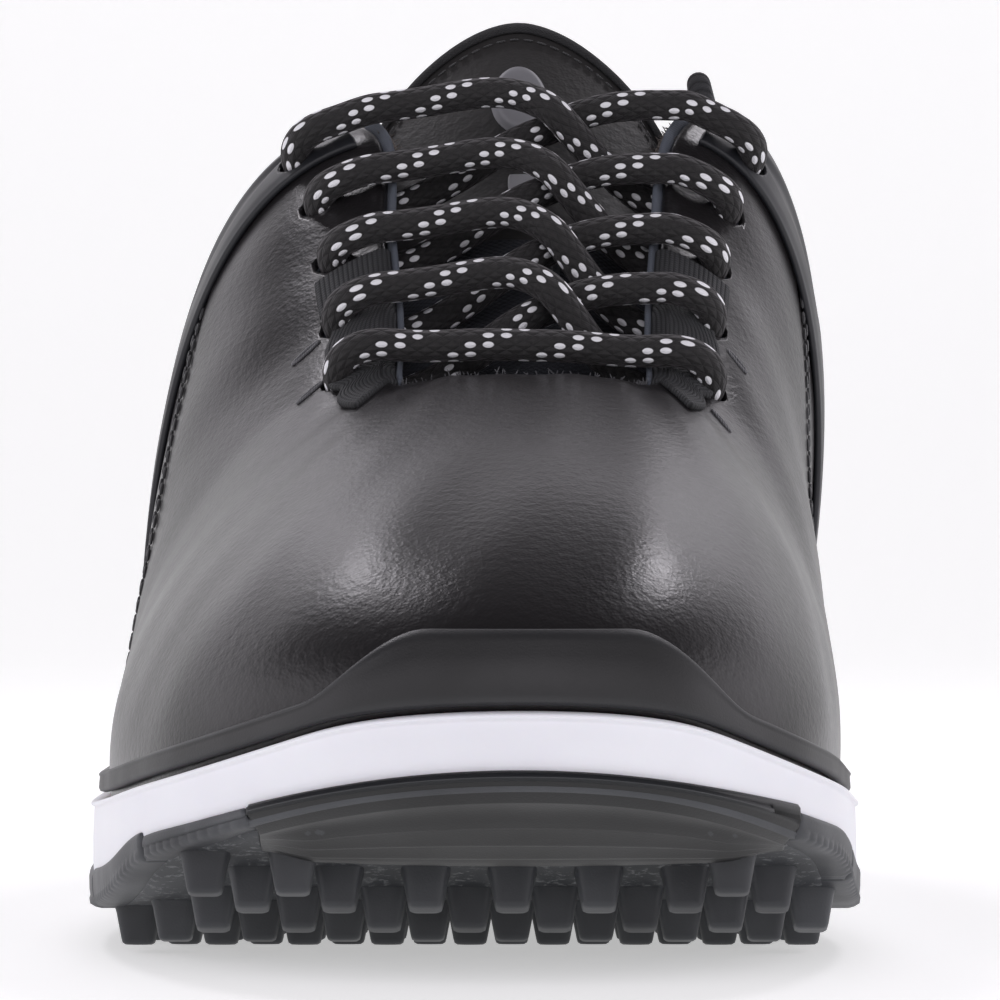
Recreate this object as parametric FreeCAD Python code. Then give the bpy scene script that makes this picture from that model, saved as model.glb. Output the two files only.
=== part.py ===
"""Right golf shoe with a spikeless lugged outsole, one STEP file per separate piece.

Frame: millimetres, +Z up, the lug tips on Z = 0, the toe towards -Y, the inner (medial) side towards +X,
the origin under the middle of the shoe's box. Tables give lengths from the toe tip, t:
Y = t - LENGTH / 2.
"""

import FreeCAD, Part
import math
import os

V = FreeCAD.Vector

# ---- driving dimensions, mm ----
LENGTH = 304.0
TOE_CENTRE_X = 7.0
THROAT_CENTRE_X = 8.0
LUG_HEIGHT = 5.5
LUG_BASE = 6.4
LUG_TIP = 4.0
LUG_PITCH_X = 12.0
LUG_PITCH_Y = 11.0
LUG_EDGE_MARGIN = 5.2
LUG_ROOT = 1.0
OUTSOLE_PLATE = 2.6
ROCKER_START = 95.0
ROCKER_RATE = 0.0024
ROCKER_SWELL = 1.6
ROCKER_SWELL_T = 36.0
ROCKER_SWELL_WIDTH = 13.0
HEEL_BEVEL_START = 286.0
HEEL_BEVEL_RATE = 0.006
UPPER_INSET = 2.5
FEATHER_LIFT = 0.4
LEATHER = 1.4
GAP = 0.15
REINFORCEMENT = 0.8
FACING_DEPTH = 1.5
LINING = 0.65
LINING_DEPTH = 2.4
OVERLAY = 1.3
BACKSTAY = 1.1
COLLAR_PAD = 5.0
BOARD = 1.7
BOARD_INSET = 6.0
LACE_R = 2.4
LACE_ROWS_T = (112.0, 126.0, 140.0, 153.0, 166.0)
EYELET_HALF = (28.2, 28.8, 30.2, 32.8, 36.4)
EYELET_HOLE_R = 3.8
LACE_CLEAR = 0.4
WEBBING = 1.0
AGLET_R = 2.0
AGLET_LENGTH = 20.0

# One row per station from the toe to the heel: the sole edge's x and t, how far the wall swells outward and
# rises at its lower handle, the rim's x, t and z, then the reach of the wall's upper handle out in x, along t
# and down from the rim.
TOE_STATION = (7.0, 0.0, 2.7, 19.0, 8.0, 103.0, 84.5, 0.0, -54.5, 14.6)
MEDIAL_STATIONS = (
    (30.0, 5.0, 2.5, 20.0, 17.0, 103.3, 84.2, 3.5, -52.5, 13.8),
    (46.5, 22.0, 3.0, 23.0, 24.0, 104.0, 83.3, 9.0, -44.0, 13.0),
    (53.5, 50.0, 3.0, 24.0, 28.5, 106.5, 83.0, 12.0, -29.0, 10.8),
    (56.0, 82.0, 3.5, 25.0, 29.0, 114.0, 87.0, 16.0, -12.0, 12.0),
    (54.0, 112.0, 6.5, 33.0, 29.5, 127.0, 96.5, 20.0, -4.0, 8.5),
    (49.5, 140.0, 12.0, 41.0, 30.8, 143.0, 109.0, 23.0, 0.0, 8.0),
    (46.0, 168.0, 18.0, 45.0, 34.0, 163.0, 124.5, 26.0, 2.0, 8.0),
    (44.5, 198.0, 13.0, 47.0, 43.0, 180.0, 126.0, 14.0, 4.0, 11.0),
    (45.0, 230.0, 8.0, 29.0, 43.0, 208.0, 106.0, 9.0, 4.0, 14.0),
    (44.5, 262.0, 5.0, 23.0, 38.0, 242.0, 96.0, 6.0, 4.0, 16.0),
    (36.0, 287.0, 5.0, 24.0, 30.0, 272.0, 98.5, 3.0, 5.0, 16.5),
    (21.0, 300.0, 5.0, 24.0, 17.5, 290.0, 103.0, 1.5, 3.0, 18.0),
)
HEEL_STATION = (5.0, 304.0, 5.0, 24.0, 5.0, 294.5, 105.0, 0.0, 2.0, 19.0)
LATERAL_STATIONS = (
    (-17.0, 5.0, 2.5, 20.0, -1.0, 103.3, 84.2, -3.5, -52.5, 13.8),
    (-38.0, 22.0, 3.0, 23.0, -8.0, 104.0, 83.3, -9.0, -44.0, 13.0),
    (-49.5, 50.0, 3.0, 24.0, -12.5, 106.5, 83.0, -13.5, -29.0, 11.3),
    (-55.0, 82.0, 3.5, 25.0, -13.0, 114.0, 87.0, -19.0, -12.0, 10.0),
    (-56.0, 112.0, 3.5, 27.0, -13.5, 127.0, 96.5, -22.0, -4.0, 10.0),
    (-53.5, 140.0, 6.0, 38.0, -14.8, 143.0, 109.0, -29.0, 0.0, 9.0),
    (-49.5, 168.0, 7.0, 45.0, -16.0, 162.0, 123.0, -34.0, 2.0, 8.0),
    (-45.0, 198.0, 10.0, 47.0, -25.0, 179.0, 124.0, -21.0, 4.0, 11.0),
    (-40.0, 230.0, 9.0, 29.0, -33.0, 208.0, 103.0, -10.0, 4.0, 13.0),
    (-35.0, 262.0, 5.5, 23.0, -28.0, 242.0, 93.0, -6.5, 4.0, 14.0),
    (-26.5, 287.0, 5.0, 24.0, -20.0, 272.0, 97.0, -3.0, 5.0, 16.0),
    (-11.5, 300.0, 5.0, 24.0, -7.5, 290.0, 103.0, -1.5, 3.0, 18.0),
)
# Height of the midsole's top edge along the shoe: (t, z).
MIDSOLE_EDGE = (
    (0, 37.7), (4, 36.2), (9, 33.6), (14, 31.4), (35, 26.4), (60, 23.2), (82, 21.6),
    (105, 21.0), (130, 21.8), (165, 25.0), (200, 28.5), (235, 31.5), (270, 33.6), (304, 35.0),
)
# The tongue's middle line and half width: (t, z, half width).
TONGUE_LINE = (
    (90, 68.6, 18.0), (100, 72.2, 22.0), (107, 75.2, 25.5), (114, 79.2, 27.5), (127, 88.8, 29.0),
    (143, 101.4, 29.5), (160, 115.4, 28.8), (172, 127.4, 27.5), (180, 136.0, 26.8), (190, 147.4, 25.6),
)
TONGUE_ARCH = 0.0155
TONGUE_LEAN = 0.7
TONGUE_TOP_FALL = 9.8
TONGUE_CORNER_FALL = 7.2
TONGUE_BOTTOM_T = 93.0
TONGUE_TOP_T = 187.0
TONGUE_SPLIT_T = 150.0
RIM_UNIT = 100.0


# ---- curves ----
def solve(matrix, columns):
    """Gaussian elimination; columns is a list of right-hand rows, one tuple per equation."""
    n = len(matrix)
    rows = [list(matrix[i]) + list(columns[i]) for i in range(n)]
    for i in range(n):
        pivot = max(range(i, n), key=lambda r: abs(rows[r][i]))
        rows[i], rows[pivot] = rows[pivot], rows[i]
        for r in range(i + 1, n):
            share = rows[r][i] / rows[i][i]
            if share:
                rows[r] = [x - share * y for x, y in zip(rows[r], rows[i])]
    width = len(rows[0]) - n
    answer = [None] * n
    for i in reversed(range(n)):
        found = []
        for c in range(width):
            known = sum(rows[i][j] * answer[j][c] for j in range(i + 1, n))
            found.append((rows[i][n + c] - known) / rows[i][i])
        answer[i] = found
    return answer


class Spline:
    """Smooth cubic curve through value tuples at rising knots; with a period it closes on itself."""

    def __init__(self, knots, values, period=None):
        self.knots = list(knots)
        self.values = [tuple(v) for v in values]
        self.period = period
        if period is not None:
            self.knots.append(self.knots[0] + period)
            self.values.append(self.values[0])
        self.bends = self._second_derivatives()

    def _second_derivatives(self):
        n = len(self.knots) if self.period is None else len(self.knots) - 1
        size = len(self.values[0])
        matrix, right = [], []
        for i in range(n):
            row = [0.0] * n
            if self.period is None and i in (0, n - 1):
                row[i] = 1.0
                matrix.append(row)
                right.append((0.0,) * size)
                continue
            before, after = (i - 1) % n, (i + 1) % n
            step = self.knots[i + 1] - self.knots[i]
            last = self.knots[before + 1] - self.knots[before]
            row[before] += last
            row[i] += 2 * (last + step)
            row[after] += step
            here, ahead, behind = self.values[i], self.values[i + 1], self.values[before]
            matrix.append(row)
            slopes = [((ahead[c] - here[c]) / step, (here[c] - behind[c]) / last) for c in range(size)]
            right.append(tuple(6 * (after_here - before_here) for after_here, before_here in slopes))
        bends = solve(matrix, right)
        if self.period is not None:
            bends.append(bends[0])
        return bends

    def __call__(self, u):
        knots = self.knots
        if self.period is not None:
            u = knots[0] + (u - knots[0]) % self.period
        u = min(max(u, knots[0]), knots[-1])
        low, high = 0, len(knots) - 1
        while high - low > 1:
            mid = (low + high) // 2
            if knots[mid] <= u:
                low = mid
            else:
                high = mid
        h = knots[high] - knots[low]
        p, q = (knots[high] - u) / h, (u - knots[low]) / h
        bend_p, bend_q = (p**3 - p) * h * h / 6, (q**3 - q) * h * h / 6
        return [
            p * a + q * b + bend_p * m + bend_q * n
            for a, b, m, n in zip(self.values[low], self.values[high], self.bends[low], self.bends[high])
        ]


def smooth(edge0, edge1, x):
    """0 below edge0, 1 above edge1, and a smooth step between."""
    s = min(max((x - edge0) / (edge1 - edge0), 0.0), 1.0)
    return s * s * (3 - 2 * s)


def bisect(function, low, high, target):
    """Where a monotone function reaches target between low and high."""
    rising = function(high) > function(low)
    for _ in range(40):
        mid = (low + high) / 2
        if (function(mid) < target) == rising:
            low = mid
        else:
            high = mid
    return (low + high) / 2


# ---- the shoe's own coordinates: a runs round the sole from the toe by the medial side, ----
# ---- v up the wall to the rim ----
STATIONS = (TOE_STATION,) + MEDIAL_STATIONS + (HEEL_STATION,) + tuple(reversed(LATERAL_STATIONS))


def station_knots():
    knots, total = [0.0], 0.0
    ring = STATIONS + (STATIONS[0],)
    for here, ahead in zip(ring, ring[1:]):
        total += math.hypot(ahead[0] - here[0], ahead[1] - here[1])
        knots.append(total)
    return [k / total for k in knots[:-1]]


KNOTS = station_knots()
A_HEEL = KNOTS[len(MEDIAL_STATIONS) + 1]
EDGE = Spline(KNOTS, [s[0:2] for s in STATIONS], 1.0)
WALL = Spline(KNOTS, [s[2:] for s in STATIONS], 1.0)
MIDSOLE_TOP = Spline([k[0] for k in MIDSOLE_EDGE], [(k[1],) for k in MIDSOLE_EDGE])
TONGUE = Spline([k[0] for k in TONGUE_LINE], [k[1:] for k in TONGUE_LINE])


def tongue_centre_x(t):
    return THROAT_CENTRE_X - TONGUE_LEAN * smooth(150, 187, t)


def midsole_top(t):
    return MIDSOLE_TOP(t)[0]


def outsole_bottom(t):
    """The outsole plate's underside: flat, with the toe's rocker and a slight heel bevel."""
    toe = ROCKER_RATE * max(0.0, ROCKER_START - t) ** 2
    toe += ROCKER_SWELL * math.exp(-(((t - ROCKER_SWELL_T) / ROCKER_SWELL_WIDTH) ** 2))
    heel = HEEL_BEVEL_RATE * max(0.0, t - HEEL_BEVEL_START) ** 2
    return LUG_HEIGHT + toe + heel


def edge_point(a, inset=0.0):
    """Plan point (x, t) of the sole's edge, moved in by inset."""
    x, t = EDGE(a)
    step = 1e-4
    x1, t1 = EDGE(a + step)
    dx, dt = x1 - x, t1 - t
    length = math.hypot(dx, dt)
    return x - inset * dt / length, t + inset * dx / length


def wall_handles(a):
    """The four Bezier points of the wall's curve at a, as (x, t, z)."""
    swell, rise, rim_x, rim_t, rim_z, out_x, out_t, down = WALL(a)
    x0, t0 = edge_point(a, UPPER_INSET)
    x1, t1 = edge_point(a, UPPER_INSET - swell)
    z0 = midsole_top(EDGE(a)[1]) + FEATHER_LIFT
    upper_handle = rim_x + out_x, rim_t + out_t, rim_z - down
    return (x0, t0, z0), (x1, t1, z0 + rise), upper_handle, (rim_x, rim_t, rim_z)


def wall_point(a, v):
    b = (1 - v) ** 3, 3 * v * (1 - v) ** 2, 3 * v * v * (1 - v), v**3
    return [sum(w * p[i] for w, p in zip(b, wall_handles(a))) for i in range(3)]


def to_row(x, t, z):
    return V(x, t - LENGTH / 2, z)


def wall_normal(a, v):
    step = 1e-3
    v0, v1 = max(v - step, 0.0), min(v + step, 1.0)
    along = V(*wall_point(a + step, v)) - V(*wall_point(a - step, v))
    up = V(*wall_point(a, v1)) - V(*wall_point(a, v0))
    normal = along.cross(up)
    return normal.normalize()


def upper(a, v, d=0.0):
    """Point on the upper's outer face at (a, v), moved out by d, in the row frame.
    Above the rim, v counts in units of RIM_UNIT mm."""
    if v > 1.0:
        top = V(*wall_point(a, 1.0))
        up = (V(0, 0, 1) + (top - V(*wall_point(a, 0.98))).normalize() * 0.5).normalize()
        along = V(*wall_point(a + 1e-3, 1.0)) - V(*wall_point(a - 1e-3, 1.0))
        p = top + up * (v - 1.0) * RIM_UNIT + along.cross(up).normalize() * d
    else:
        p = V(*wall_point(a, v)) + wall_normal(a, v) * d
    return to_row(p.x, p.y, p.z)


def a_at(t, medial):
    """The perimeter value where the sole's edge is t from the toe tip, on the medial or the lateral side."""
    low, high = (0.0, A_HEEL) if medial else (0.0, A_HEEL - 1.0)
    return bisect(lambda a: EDGE(a)[1], low, high, t)


def a_at_rim(t, medial):
    """The perimeter value where the rim is t from the toe tip."""
    low, high = (KNOTS[3], KNOTS[9]) if medial else (KNOTS[-3] - 1.0, KNOTS[-9] - 1.0)
    return bisect(lambda a: WALL(a)[3], low, high, t)


def v_at_height(a, z):
    return bisect(lambda v: wall_point(a, v)[2], 0.0, 1.0, z)


def v_from_rim(a, distance):
    """The v that lies the given length down the wall from the rim."""
    steps, walked, v = 200, 0.0, 1.0
    here = V(*wall_point(a, v))
    while walked < distance and v > 0.0:
        v -= 1.0 / steps
        there = V(*wall_point(a, max(v, 0.0)))
        walked += (there - here).Length
        here = there
    return max(v, 0.0)


# ---- solids from grids ----
def spline_poles(points):
    """Poles of the uniform natural cubic curve through points: two more poles than points."""
    n = len(points)
    share, carried = [0.0], [points[0]]
    for k in range(1, n - 1):
        pivot = 4.0 - share[-1]
        share.append(1.0 / pivot)
        carried.append((points[k] * 6.0 - carried[-1]) * (1.0 / pivot))
    poles = [points[-1]]
    for k in range(n - 2, 0, -1):
        poles.append(carried[k] - poles[-1] * share[k])
    poles.append(points[0])
    poles.reverse()
    return [poles[0] * 2 - poles[1]] + poles + [poles[-1] * 2 - poles[-2]]


def grid_face(grid):
    """Smooth surface through a grid of points, with one knot per row and column."""
    rows = [spline_poles(row) for row in grid]
    columns = [spline_poles(list(column)) for column in zip(*rows)]
    poles = [list(row) for row in zip(*columns)]
    knots_u, knots_v = [float(k) for k in range(len(poles) + 4)], [float(k) for k in range(len(poles[0]) + 4)]
    surface = Part.BSplineSurface()
    ones_u, ones_v = [1] * len(knots_u), [1] * len(knots_v)
    surface.buildFromPolesMultsKnots(poles, ones_u, ones_v, knots_u, knots_v, False, False, 3, 3)
    surface.segment(3.0, float(len(poles)), 3.0, float(len(poles[0])))
    return surface


def close_solid(faces):
    """Solid inside faces that meet along their edges."""
    shell = Part.makeShell(faces)
    shell.sewShape()
    shape = Part.makeSolid(shell)
    if shape.Volume < 0:
        shape.reverse()
    return shape


def grid_solid(outer, inner):
    """Solid between two grids of points with the same layout, closed round their four edges."""
    top, bottom = grid_face(outer), grid_face(inner)
    u0, u1, v0, v1 = top.bounds()
    s0, s1, w0, w1 = bottom.bounds()
    pairs = (
        (top.uIso(u0), bottom.uIso(s0)),
        (top.uIso(u1), bottom.uIso(s1)),
        (top.vIso(v0), bottom.vIso(w0)),
        (top.vIso(v1), bottom.vIso(w1)),
    )
    faces = [top.toShape(), bottom.toShape()]
    faces += [Part.makeRuledSurface(p.toShape(), q.toShape()) for p, q in pairs]
    return close_solid(faces)


def spread(low, high, count):
    return [low + (high - low) * i / (count - 1) for i in range(count)]


def wall_panel(a_low, a_high, v_low, v_high, d_out, d_in, columns=40, rows=12):
    """A sheet on the upper. The a limits may depend on the share q up the sheet, the v limits on the
    perimeter value a, and the offsets on (a, v)."""

    def value(x, *args):
        return x(*args) if callable(x) else x

    outer, inner = [], []
    for p in spread(0.0, 1.0, columns):
        line_out, line_in = [], []
        for q in spread(0.0, 1.0, rows):
            a = value(a_low, q) * (1 - p) + value(a_high, q) * p
            v = value(v_low, a) * (1 - q) + value(v_high, a) * q
            line_out.append(upper(a, v, value(d_out, a, v)))
            line_in.append(upper(a, v, value(d_in, a, v)))
        outer.append(line_out)
        inner.append(line_in)
    return grid_solid(outer, inner)


# Lengths along the shoe at which the sole's layers change slope.
LAYER_T = (
    0.0, 2.0, 4.0, 6.5, 9.0, 11.5, 14.0, 20.0, 27.0, 35.0, 47.0, 60.0, 77.0, 95.0,
    118.0, 141.0, 165.0, 200.0, 235.0, 270.0, HEEL_BEVEL_START, 295.0, LENGTH,
)


def sole_layer(inset, low, high):
    """The sole's plan outline, moved in by inset, between two height functions of t."""
    points = []
    for a in KNOTS:
        x, t = edge_point(a, inset)
        points.append(to_row(x, t, 0.0))
    outline = Part.BSplineCurve()
    outline.interpolate(Points=points, PeriodicFlag=True)
    prism = Part.Face(Part.Wire([outline.toShape()])).extrude(V(0, 0, 80))
    beyond, width = 4.0, 70.0
    under = [V(-width, t - LENGTH / 2, low(t)) for t in LAYER_T]
    over = [V(-width, t - LENGTH / 2, high(t)) for t in LAYER_T]
    for line in (under, over):
        line.insert(0, line[0] - V(0, beyond, 0))
        line.append(line[-1] + V(0, beyond, 0))
    profile = Part.Face(Part.makePolygon(under + over[::-1] + under[:1]))
    return prism.common(profile.extrude(V(2 * width, 0, 0))).Solids[0]


def edge_block(a_low, a_high, inset_out, inset_in, z_low, z_high, count=7):
    """A strip of the sole's rim between two insets and two heights, each a function of (a, t)."""
    rails = [[], [], [], []]
    corners = (inset_out, z_low), (inset_out, z_high), (inset_in, z_high), (inset_in, z_low)
    for a in spread(a_low, a_high, count):
        t = EDGE(a)[1]
        for rail, (inset, z) in zip(rails, corners):
            x, s = edge_point(a, inset)
            rail.append(to_row(x, s, z(a, t)))
    curves = []
    for rail in rails:
        curve = Part.BSplineCurve()
        curve.interpolate(rail)
        curves.append(curve.toShape())
    faces = [Part.makeRuledSurface(curves[i], curves[(i + 1) % 4]) for i in range(4)]
    for end in (0, -1):
        outer_low, outer_high, inner_high, inner_low = [rail[end] for rail in rails]
        outer_line, inner_line = Part.makeLine(outer_low, outer_high), Part.makeLine(inner_low, inner_high)
        faces.append(Part.makeRuledSurface(outer_line, inner_line))
    return close_solid(faces)


TUBE_STEP = 2.8
TUBE_FACE_STEPS = 20.0


def tube(points, radius, around=8):
    """A round cord through points, closed by flat ends."""
    knots = [0.0]
    for here, ahead in zip(points, points[1:]):
        knots.append(knots[-1] + (ahead - here).Length)
    curve = Spline(knots, [tuple(p) for p in points])
    centres = [V(*curve(u)) for u in spread(0.0, knots[-1], int(knots[-1] / TUBE_STEP))]
    pole_radius = radius * 6.0 / (4.0 + 2.0 * math.cos(2 * math.pi / around))
    side = V(0, 0, 1)
    rings = []
    for i, centre in enumerate(centres):
        ahead = (centres[min(i + 1, len(centres) - 1)] - centres[max(i - 1, 0)]).normalize()
        side = (side - ahead * side.dot(ahead)).normalize()
        other = ahead.cross(side)
        ring = []
        for k in range(around + 3):
            angle = 2 * math.pi * k / around
            spoke = side * math.cos(angle) + other * math.sin(angle)
            ring.append(centre + spoke * pole_radius)
        rings.append(ring)
    columns = [spline_poles(list(column)) for column in zip(*rings)]
    poles = [list(row) for row in zip(*columns)]
    knots_u, knots_v = [float(k) for k in range(len(poles) + 4)], [float(k) for k in range(around + 7)]
    surface = Part.BSplineSurface()
    surface.buildFromPolesMultsKnots(
        poles, [1] * len(knots_u), [1] * len(knots_v), knots_u, knots_v, False, False, 3, 3
    )
    surface.segment(3.0, float(len(poles)), 3.0, around + 3.0)
    start, end = surface.bounds()[:2]
    faces = [Part.Face(Part.Wire([surface.uIso(u).toShape()])) for u in (start, end)]
    while start < end:
        stretch = surface.copy()
        stretch.segment(start, min(start + TUBE_FACE_STEPS, end), 3.0, around + 3.0)
        faces.append(stretch.toShape())
        start += TUBE_FACE_STEPS
    return close_solid(faces)


def locate(x, t, medial):
    """The (a, v) near the rim whose plan place is (x, t)."""
    a, v = a_at_rim(t, medial), 0.85
    step = 1e-4
    for _ in range(30):
        here, by_a, by_v = wall_point(a, v), wall_point(a + step, v), wall_point(a, v - step)
        ax, at = (by_a[0] - here[0]) / step, (by_a[1] - here[1]) / step
        vx, vt = (here[0] - by_v[0]) / step, (here[1] - by_v[1]) / step
        ex, et = x - here[0], t - here[1]
        det = ax * vt - vx * at
        a += 0.7 * (ex * vt - vx * et) / det
        v += 0.7 * (ax * et - at * ex) / det
        v = min(v, 0.999)
    return a, v


# ---- sole unit ----
MIDSOLE_INSET = 1.0
POD_PROUD = 0.6
POD_DEPTH = 0.4
BOW_HALF = 36.0
TOE_WRAP_ENDS = (12.5, 18.0)
TOE_WRAP_Z = 30.1
TOE_WRAP_FALL = 5.1
HEEL_WRAP_START = 270.0
HEEL_WRAP_HEIGHT = 7.0
# Sidewall pods of the outsole: start t, end t, height above the plate's underside at each.
REAR_PODS = (
    (114.0, 152.0, 5.0, 6.0), (154.0, 192.0, 5.0, 6.0), (194.0, 232.0, 5.0, 6.0), (234.0, 268.0, 5.0, 6.0),
)
MEDIAL_PODS = ((18.6, 43.0, 3.6, 4.6), (45.0, 78.0, 4.6, 6.0), (80.0, 112.0, 5.0, 6.0)) + REAR_PODS
LATERAL_PODS = ((13.1, 33.0, 2.6, 3.2), (35.0, 72.0, 4.0, 5.5), (74.0, 112.0, 5.0, 6.0)) + REAR_PODS


def pod_blocks():
    """The outsole's pods that wrap up the sidewall."""
    def low(a, t):
        return outsole_bottom(t) + 0.3

    def block(a0, a1, high):
        return edge_block(a0, a1, -POD_PROUD, POD_DEPTH, low, high, count=15)

    def toe_top(a, t):
        return TOE_WRAP_Z - TOE_WRAP_FALL * ((EDGE(a)[0] - TOE_CENTRE_X) / BOW_HALF) ** 2

    toe = block(a_at(TOE_WRAP_ENDS[0], False), a_at(TOE_WRAP_ENDS[1], True), toe_top)
    heel_ends = a_at(HEEL_WRAP_START, True), a_at(HEEL_WRAP_START, False) + 1.0
    blocks = [toe, block(*heel_ends, lambda a, t: outsole_bottom(t) + HEEL_WRAP_HEIGHT)]
    for pods, medial in ((MEDIAL_PODS, True), (LATERAL_PODS, False)):
        for t0, t1, h0, h1 in pods:
            def high(a, t, t0=t0, t1=t1, h0=h0, h1=h1):
                return outsole_bottom(t) + h0 + (h1 - h0) * (t - t0) / (t1 - t0)

            blocks.append(block(*sorted((a_at(t0, medial), a_at(t1, medial))), high))
    return blocks


def lug(x, t):
    """One truncated pyramid under the plate, square to the plate's underside."""
    def square(half, z):
        corners = [V(-half, -half, z), V(half, -half, z), V(half, half, z), V(-half, half, z)]
        return Part.makePolygon(corners + corners[:1])

    shape = Part.makeLoft([square(LUG_TIP / 2, -LUG_HEIGHT), square(LUG_BASE / 2, LUG_ROOT)], True, True)
    slope = outsole_bottom(t + 0.5) - outsole_bottom(t - 0.5)
    shape.rotate(V(0, 0, 0), V(1, 0, 0), math.degrees(math.atan(slope)))
    shape.translate(to_row(x, t, outsole_bottom(t)))
    return shape


def inside_edge(x, t, margin):
    """True where (x, t) lies inside the sole's outline by at least margin."""
    inside = False
    ring = [edge_point(i / 90, margin) for i in range(90)]
    for (x0, t0), (x1, t1) in zip(ring, ring[1:] + ring[:1]):
        if (t0 > t) != (t1 > t) and x < x0 + (x1 - x0) * (t - t0) / (t1 - t0):
            inside = not inside
    return inside


def bow_edge(x):
    """Where the smooth bow under the toe ends and the lugs begin, as t at x."""
    return 30.0 - 7.0 * ((x - TOE_CENTRE_X) / BOW_HALF) ** 2


def lug_places():
    places = []
    rows = int(LENGTH / LUG_PITCH_Y)
    for r in range(rows):
        t = 8.0 + r * LUG_PITCH_Y
        shift = LUG_PITCH_X / 2 * (r % 2)
        for c in range(-6, 7):
            x = c * LUG_PITCH_X + shift
            if t > bow_edge(x) + LUG_BASE / 2 and inside_edge(x, t, LUG_EDGE_MARGIN):
                places.append((x, t))
    return places


def outsole():
    plate = sole_layer(0.0, outsole_bottom, lambda t: outsole_bottom(t) + OUTSOLE_PLATE)
    lugs = [lug(x, t) for x, t in lug_places()]
    return plate.multiFuse(pod_blocks() + lugs)


SHANK_LENGTH = (118.0, 216.0)
SHANK_WIDTH = 34.0
SHANK_CENTRE_X = 2.0
SHANK_THICKNESS = 1.6


def shank_plate(grow=0.0):
    """A stiffening plate with a waist, bent to the midsole's floor."""

    def bar(height):
        rows = []
        for t in spread(SHANK_LENGTH[0] - grow, SHANK_LENGTH[1] + grow, 14):
            mid = (t - sum(SHANK_LENGTH) / 2) / (SHANK_LENGTH[1] - SHANK_LENGTH[0]) * 2
            half = SHANK_WIDTH / 2 * (0.72 + 0.28 * mid * mid) + grow
            across = [SHANK_CENTRE_X + half * s for s in spread(-1, 1, 5)]
            rows.append([to_row(x, t, midsole_top(t) + height) for x in across])
        return rows

    return grid_solid(bar(2 * grow - 0.1), bar(-SHANK_THICKNESS - grow))


def midsole():
    body = sole_layer(MIDSOLE_INSET, lambda t: outsole_bottom(t) + OUTSOLE_PLATE + 0.1, midsole_top)
    return body.cut(shank_plate(GAP))


def strobel_board():
    def low(t):
        return midsole_top(t) + 0.1

    return sole_layer(BOARD_INSET, low, lambda t: low(t) + BOARD)


FOOTBED_INSET = 7.0
FOOTBED_FOAM = 4.0
FOOTBED_COVER = 0.9


def footbed_base(t):
    return midsole_top(t) + BOARD + 0.25


def footbed():
    return sole_layer(FOOTBED_INSET, footbed_base, lambda t: footbed_base(t) + FOOTBED_FOAM)


def footbed_cover():
    def low(t):
        return footbed_base(t) + FOOTBED_FOAM + 0.1

    return sole_layer(FOOTBED_INSET + 0.4, low, lambda t: low(t) + FOOTBED_COVER)


# ---- upper ----
SEAM_FOOT_T = 118.0
EYESTAY_END_T = 172.0
RAND_RISE = 4.0
RAND_THICKNESS = 1.75
BUMPER_TOP = 47.4
A_LATERAL, A_MEDIAL = a_at_rim(EYESTAY_END_T, False), a_at_rim(EYESTAY_END_T, True)


def seam(medial, shift=0.0, v_low=0.0, v_high=1.0):
    """The vamp's rear seam, forward at the sole and back at the rim, for a panel from v_low to v_high."""
    foot = a_at(SEAM_FOOT_T, medial)
    head = A_MEDIAL if medial else A_LATERAL

    def a(q):
        return foot + (head - foot) * smooth(0.15, 0.95, v_low + (v_high - v_low) * q) + shift

    return a


def rand_height(a):
    x, t = EDGE(a)
    side = midsole_top(t) + RAND_RISE
    plateau = smooth(31.0, 14.0, abs(x - THROAT_CENTRE_X)) if t < 40 else 0.0
    return side + (BUMPER_TOP - side) * plateau


def rand_v(a):
    return v_at_height(a, rand_height(a))


def above_rand(a):
    return rand_v(a) + 0.012


def rand():
    gap = 0.0006
    return wall_panel(A_HEEL - 1 + gap, A_HEEL - gap, 0.02, rand_v, RAND_THICKNESS, 0.05, columns=120, rows=4)


def eyelets():
    """Centre, outward normal and direction towards the throat at each eyelet, keyed by (row, side)."""
    found = {}
    for row, (t, half) in enumerate(zip(LACE_ROWS_T, EYELET_HALF)):
        for side in (-1, 1):
            a, v = locate(THROAT_CENTRE_X + side * half, t, side > 0)
            centre = upper(a, v)
            n = wall_normal(a, v)
            inward = V(-side, 0, 0)
            inward = (inward - n * inward.dot(n)).normalize()
            found[row, side] = (centre, n, inward)
    return found


EYELETS = eyelets()


def with_eyelet_holes(shape, sides=(-1, 1)):
    for (row, side), (centre, n, inward) in EYELETS.items():
        if side in sides:
            shape = shape.cut(Part.makeCylinder(EYELET_HOLE_R, 16.0, centre - n * 8.0, n))
    return shape


LINING_FOOT_V = 0.03


def vamp():
    sheet = wall_panel(seam(False), seam(True), 0.0, 1.0, 0.0, -LEATHER, columns=60, rows=16)
    return with_eyelet_holes(sheet)


def vamp_lining():
    v_low, v_high = LINING_FOOT_V, 0.8
    a0, a1 = seam(False, 0.0, v_low, v_high), seam(True, 0.0, v_low, v_high)
    return wall_panel(a0, a1, v_low, v_high, -LINING_DEPTH, -LINING_DEPTH - LINING, columns=60, rows=16)


SEAM_GAP_A = 0.0008


def quarter_medial():
    return wall_panel(seam(True, SEAM_GAP_A), A_HEEL - SEAM_GAP_A / 2, 0.0, 1.0, 0.0, -LEATHER)


def quarter_lateral():
    return wall_panel(A_HEEL - 1 + SEAM_GAP_A / 2, seam(False, -SEAM_GAP_A), 0.0, 1.0, 0.0, -LEATHER)


FACING_WIDTH = 15.0


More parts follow.
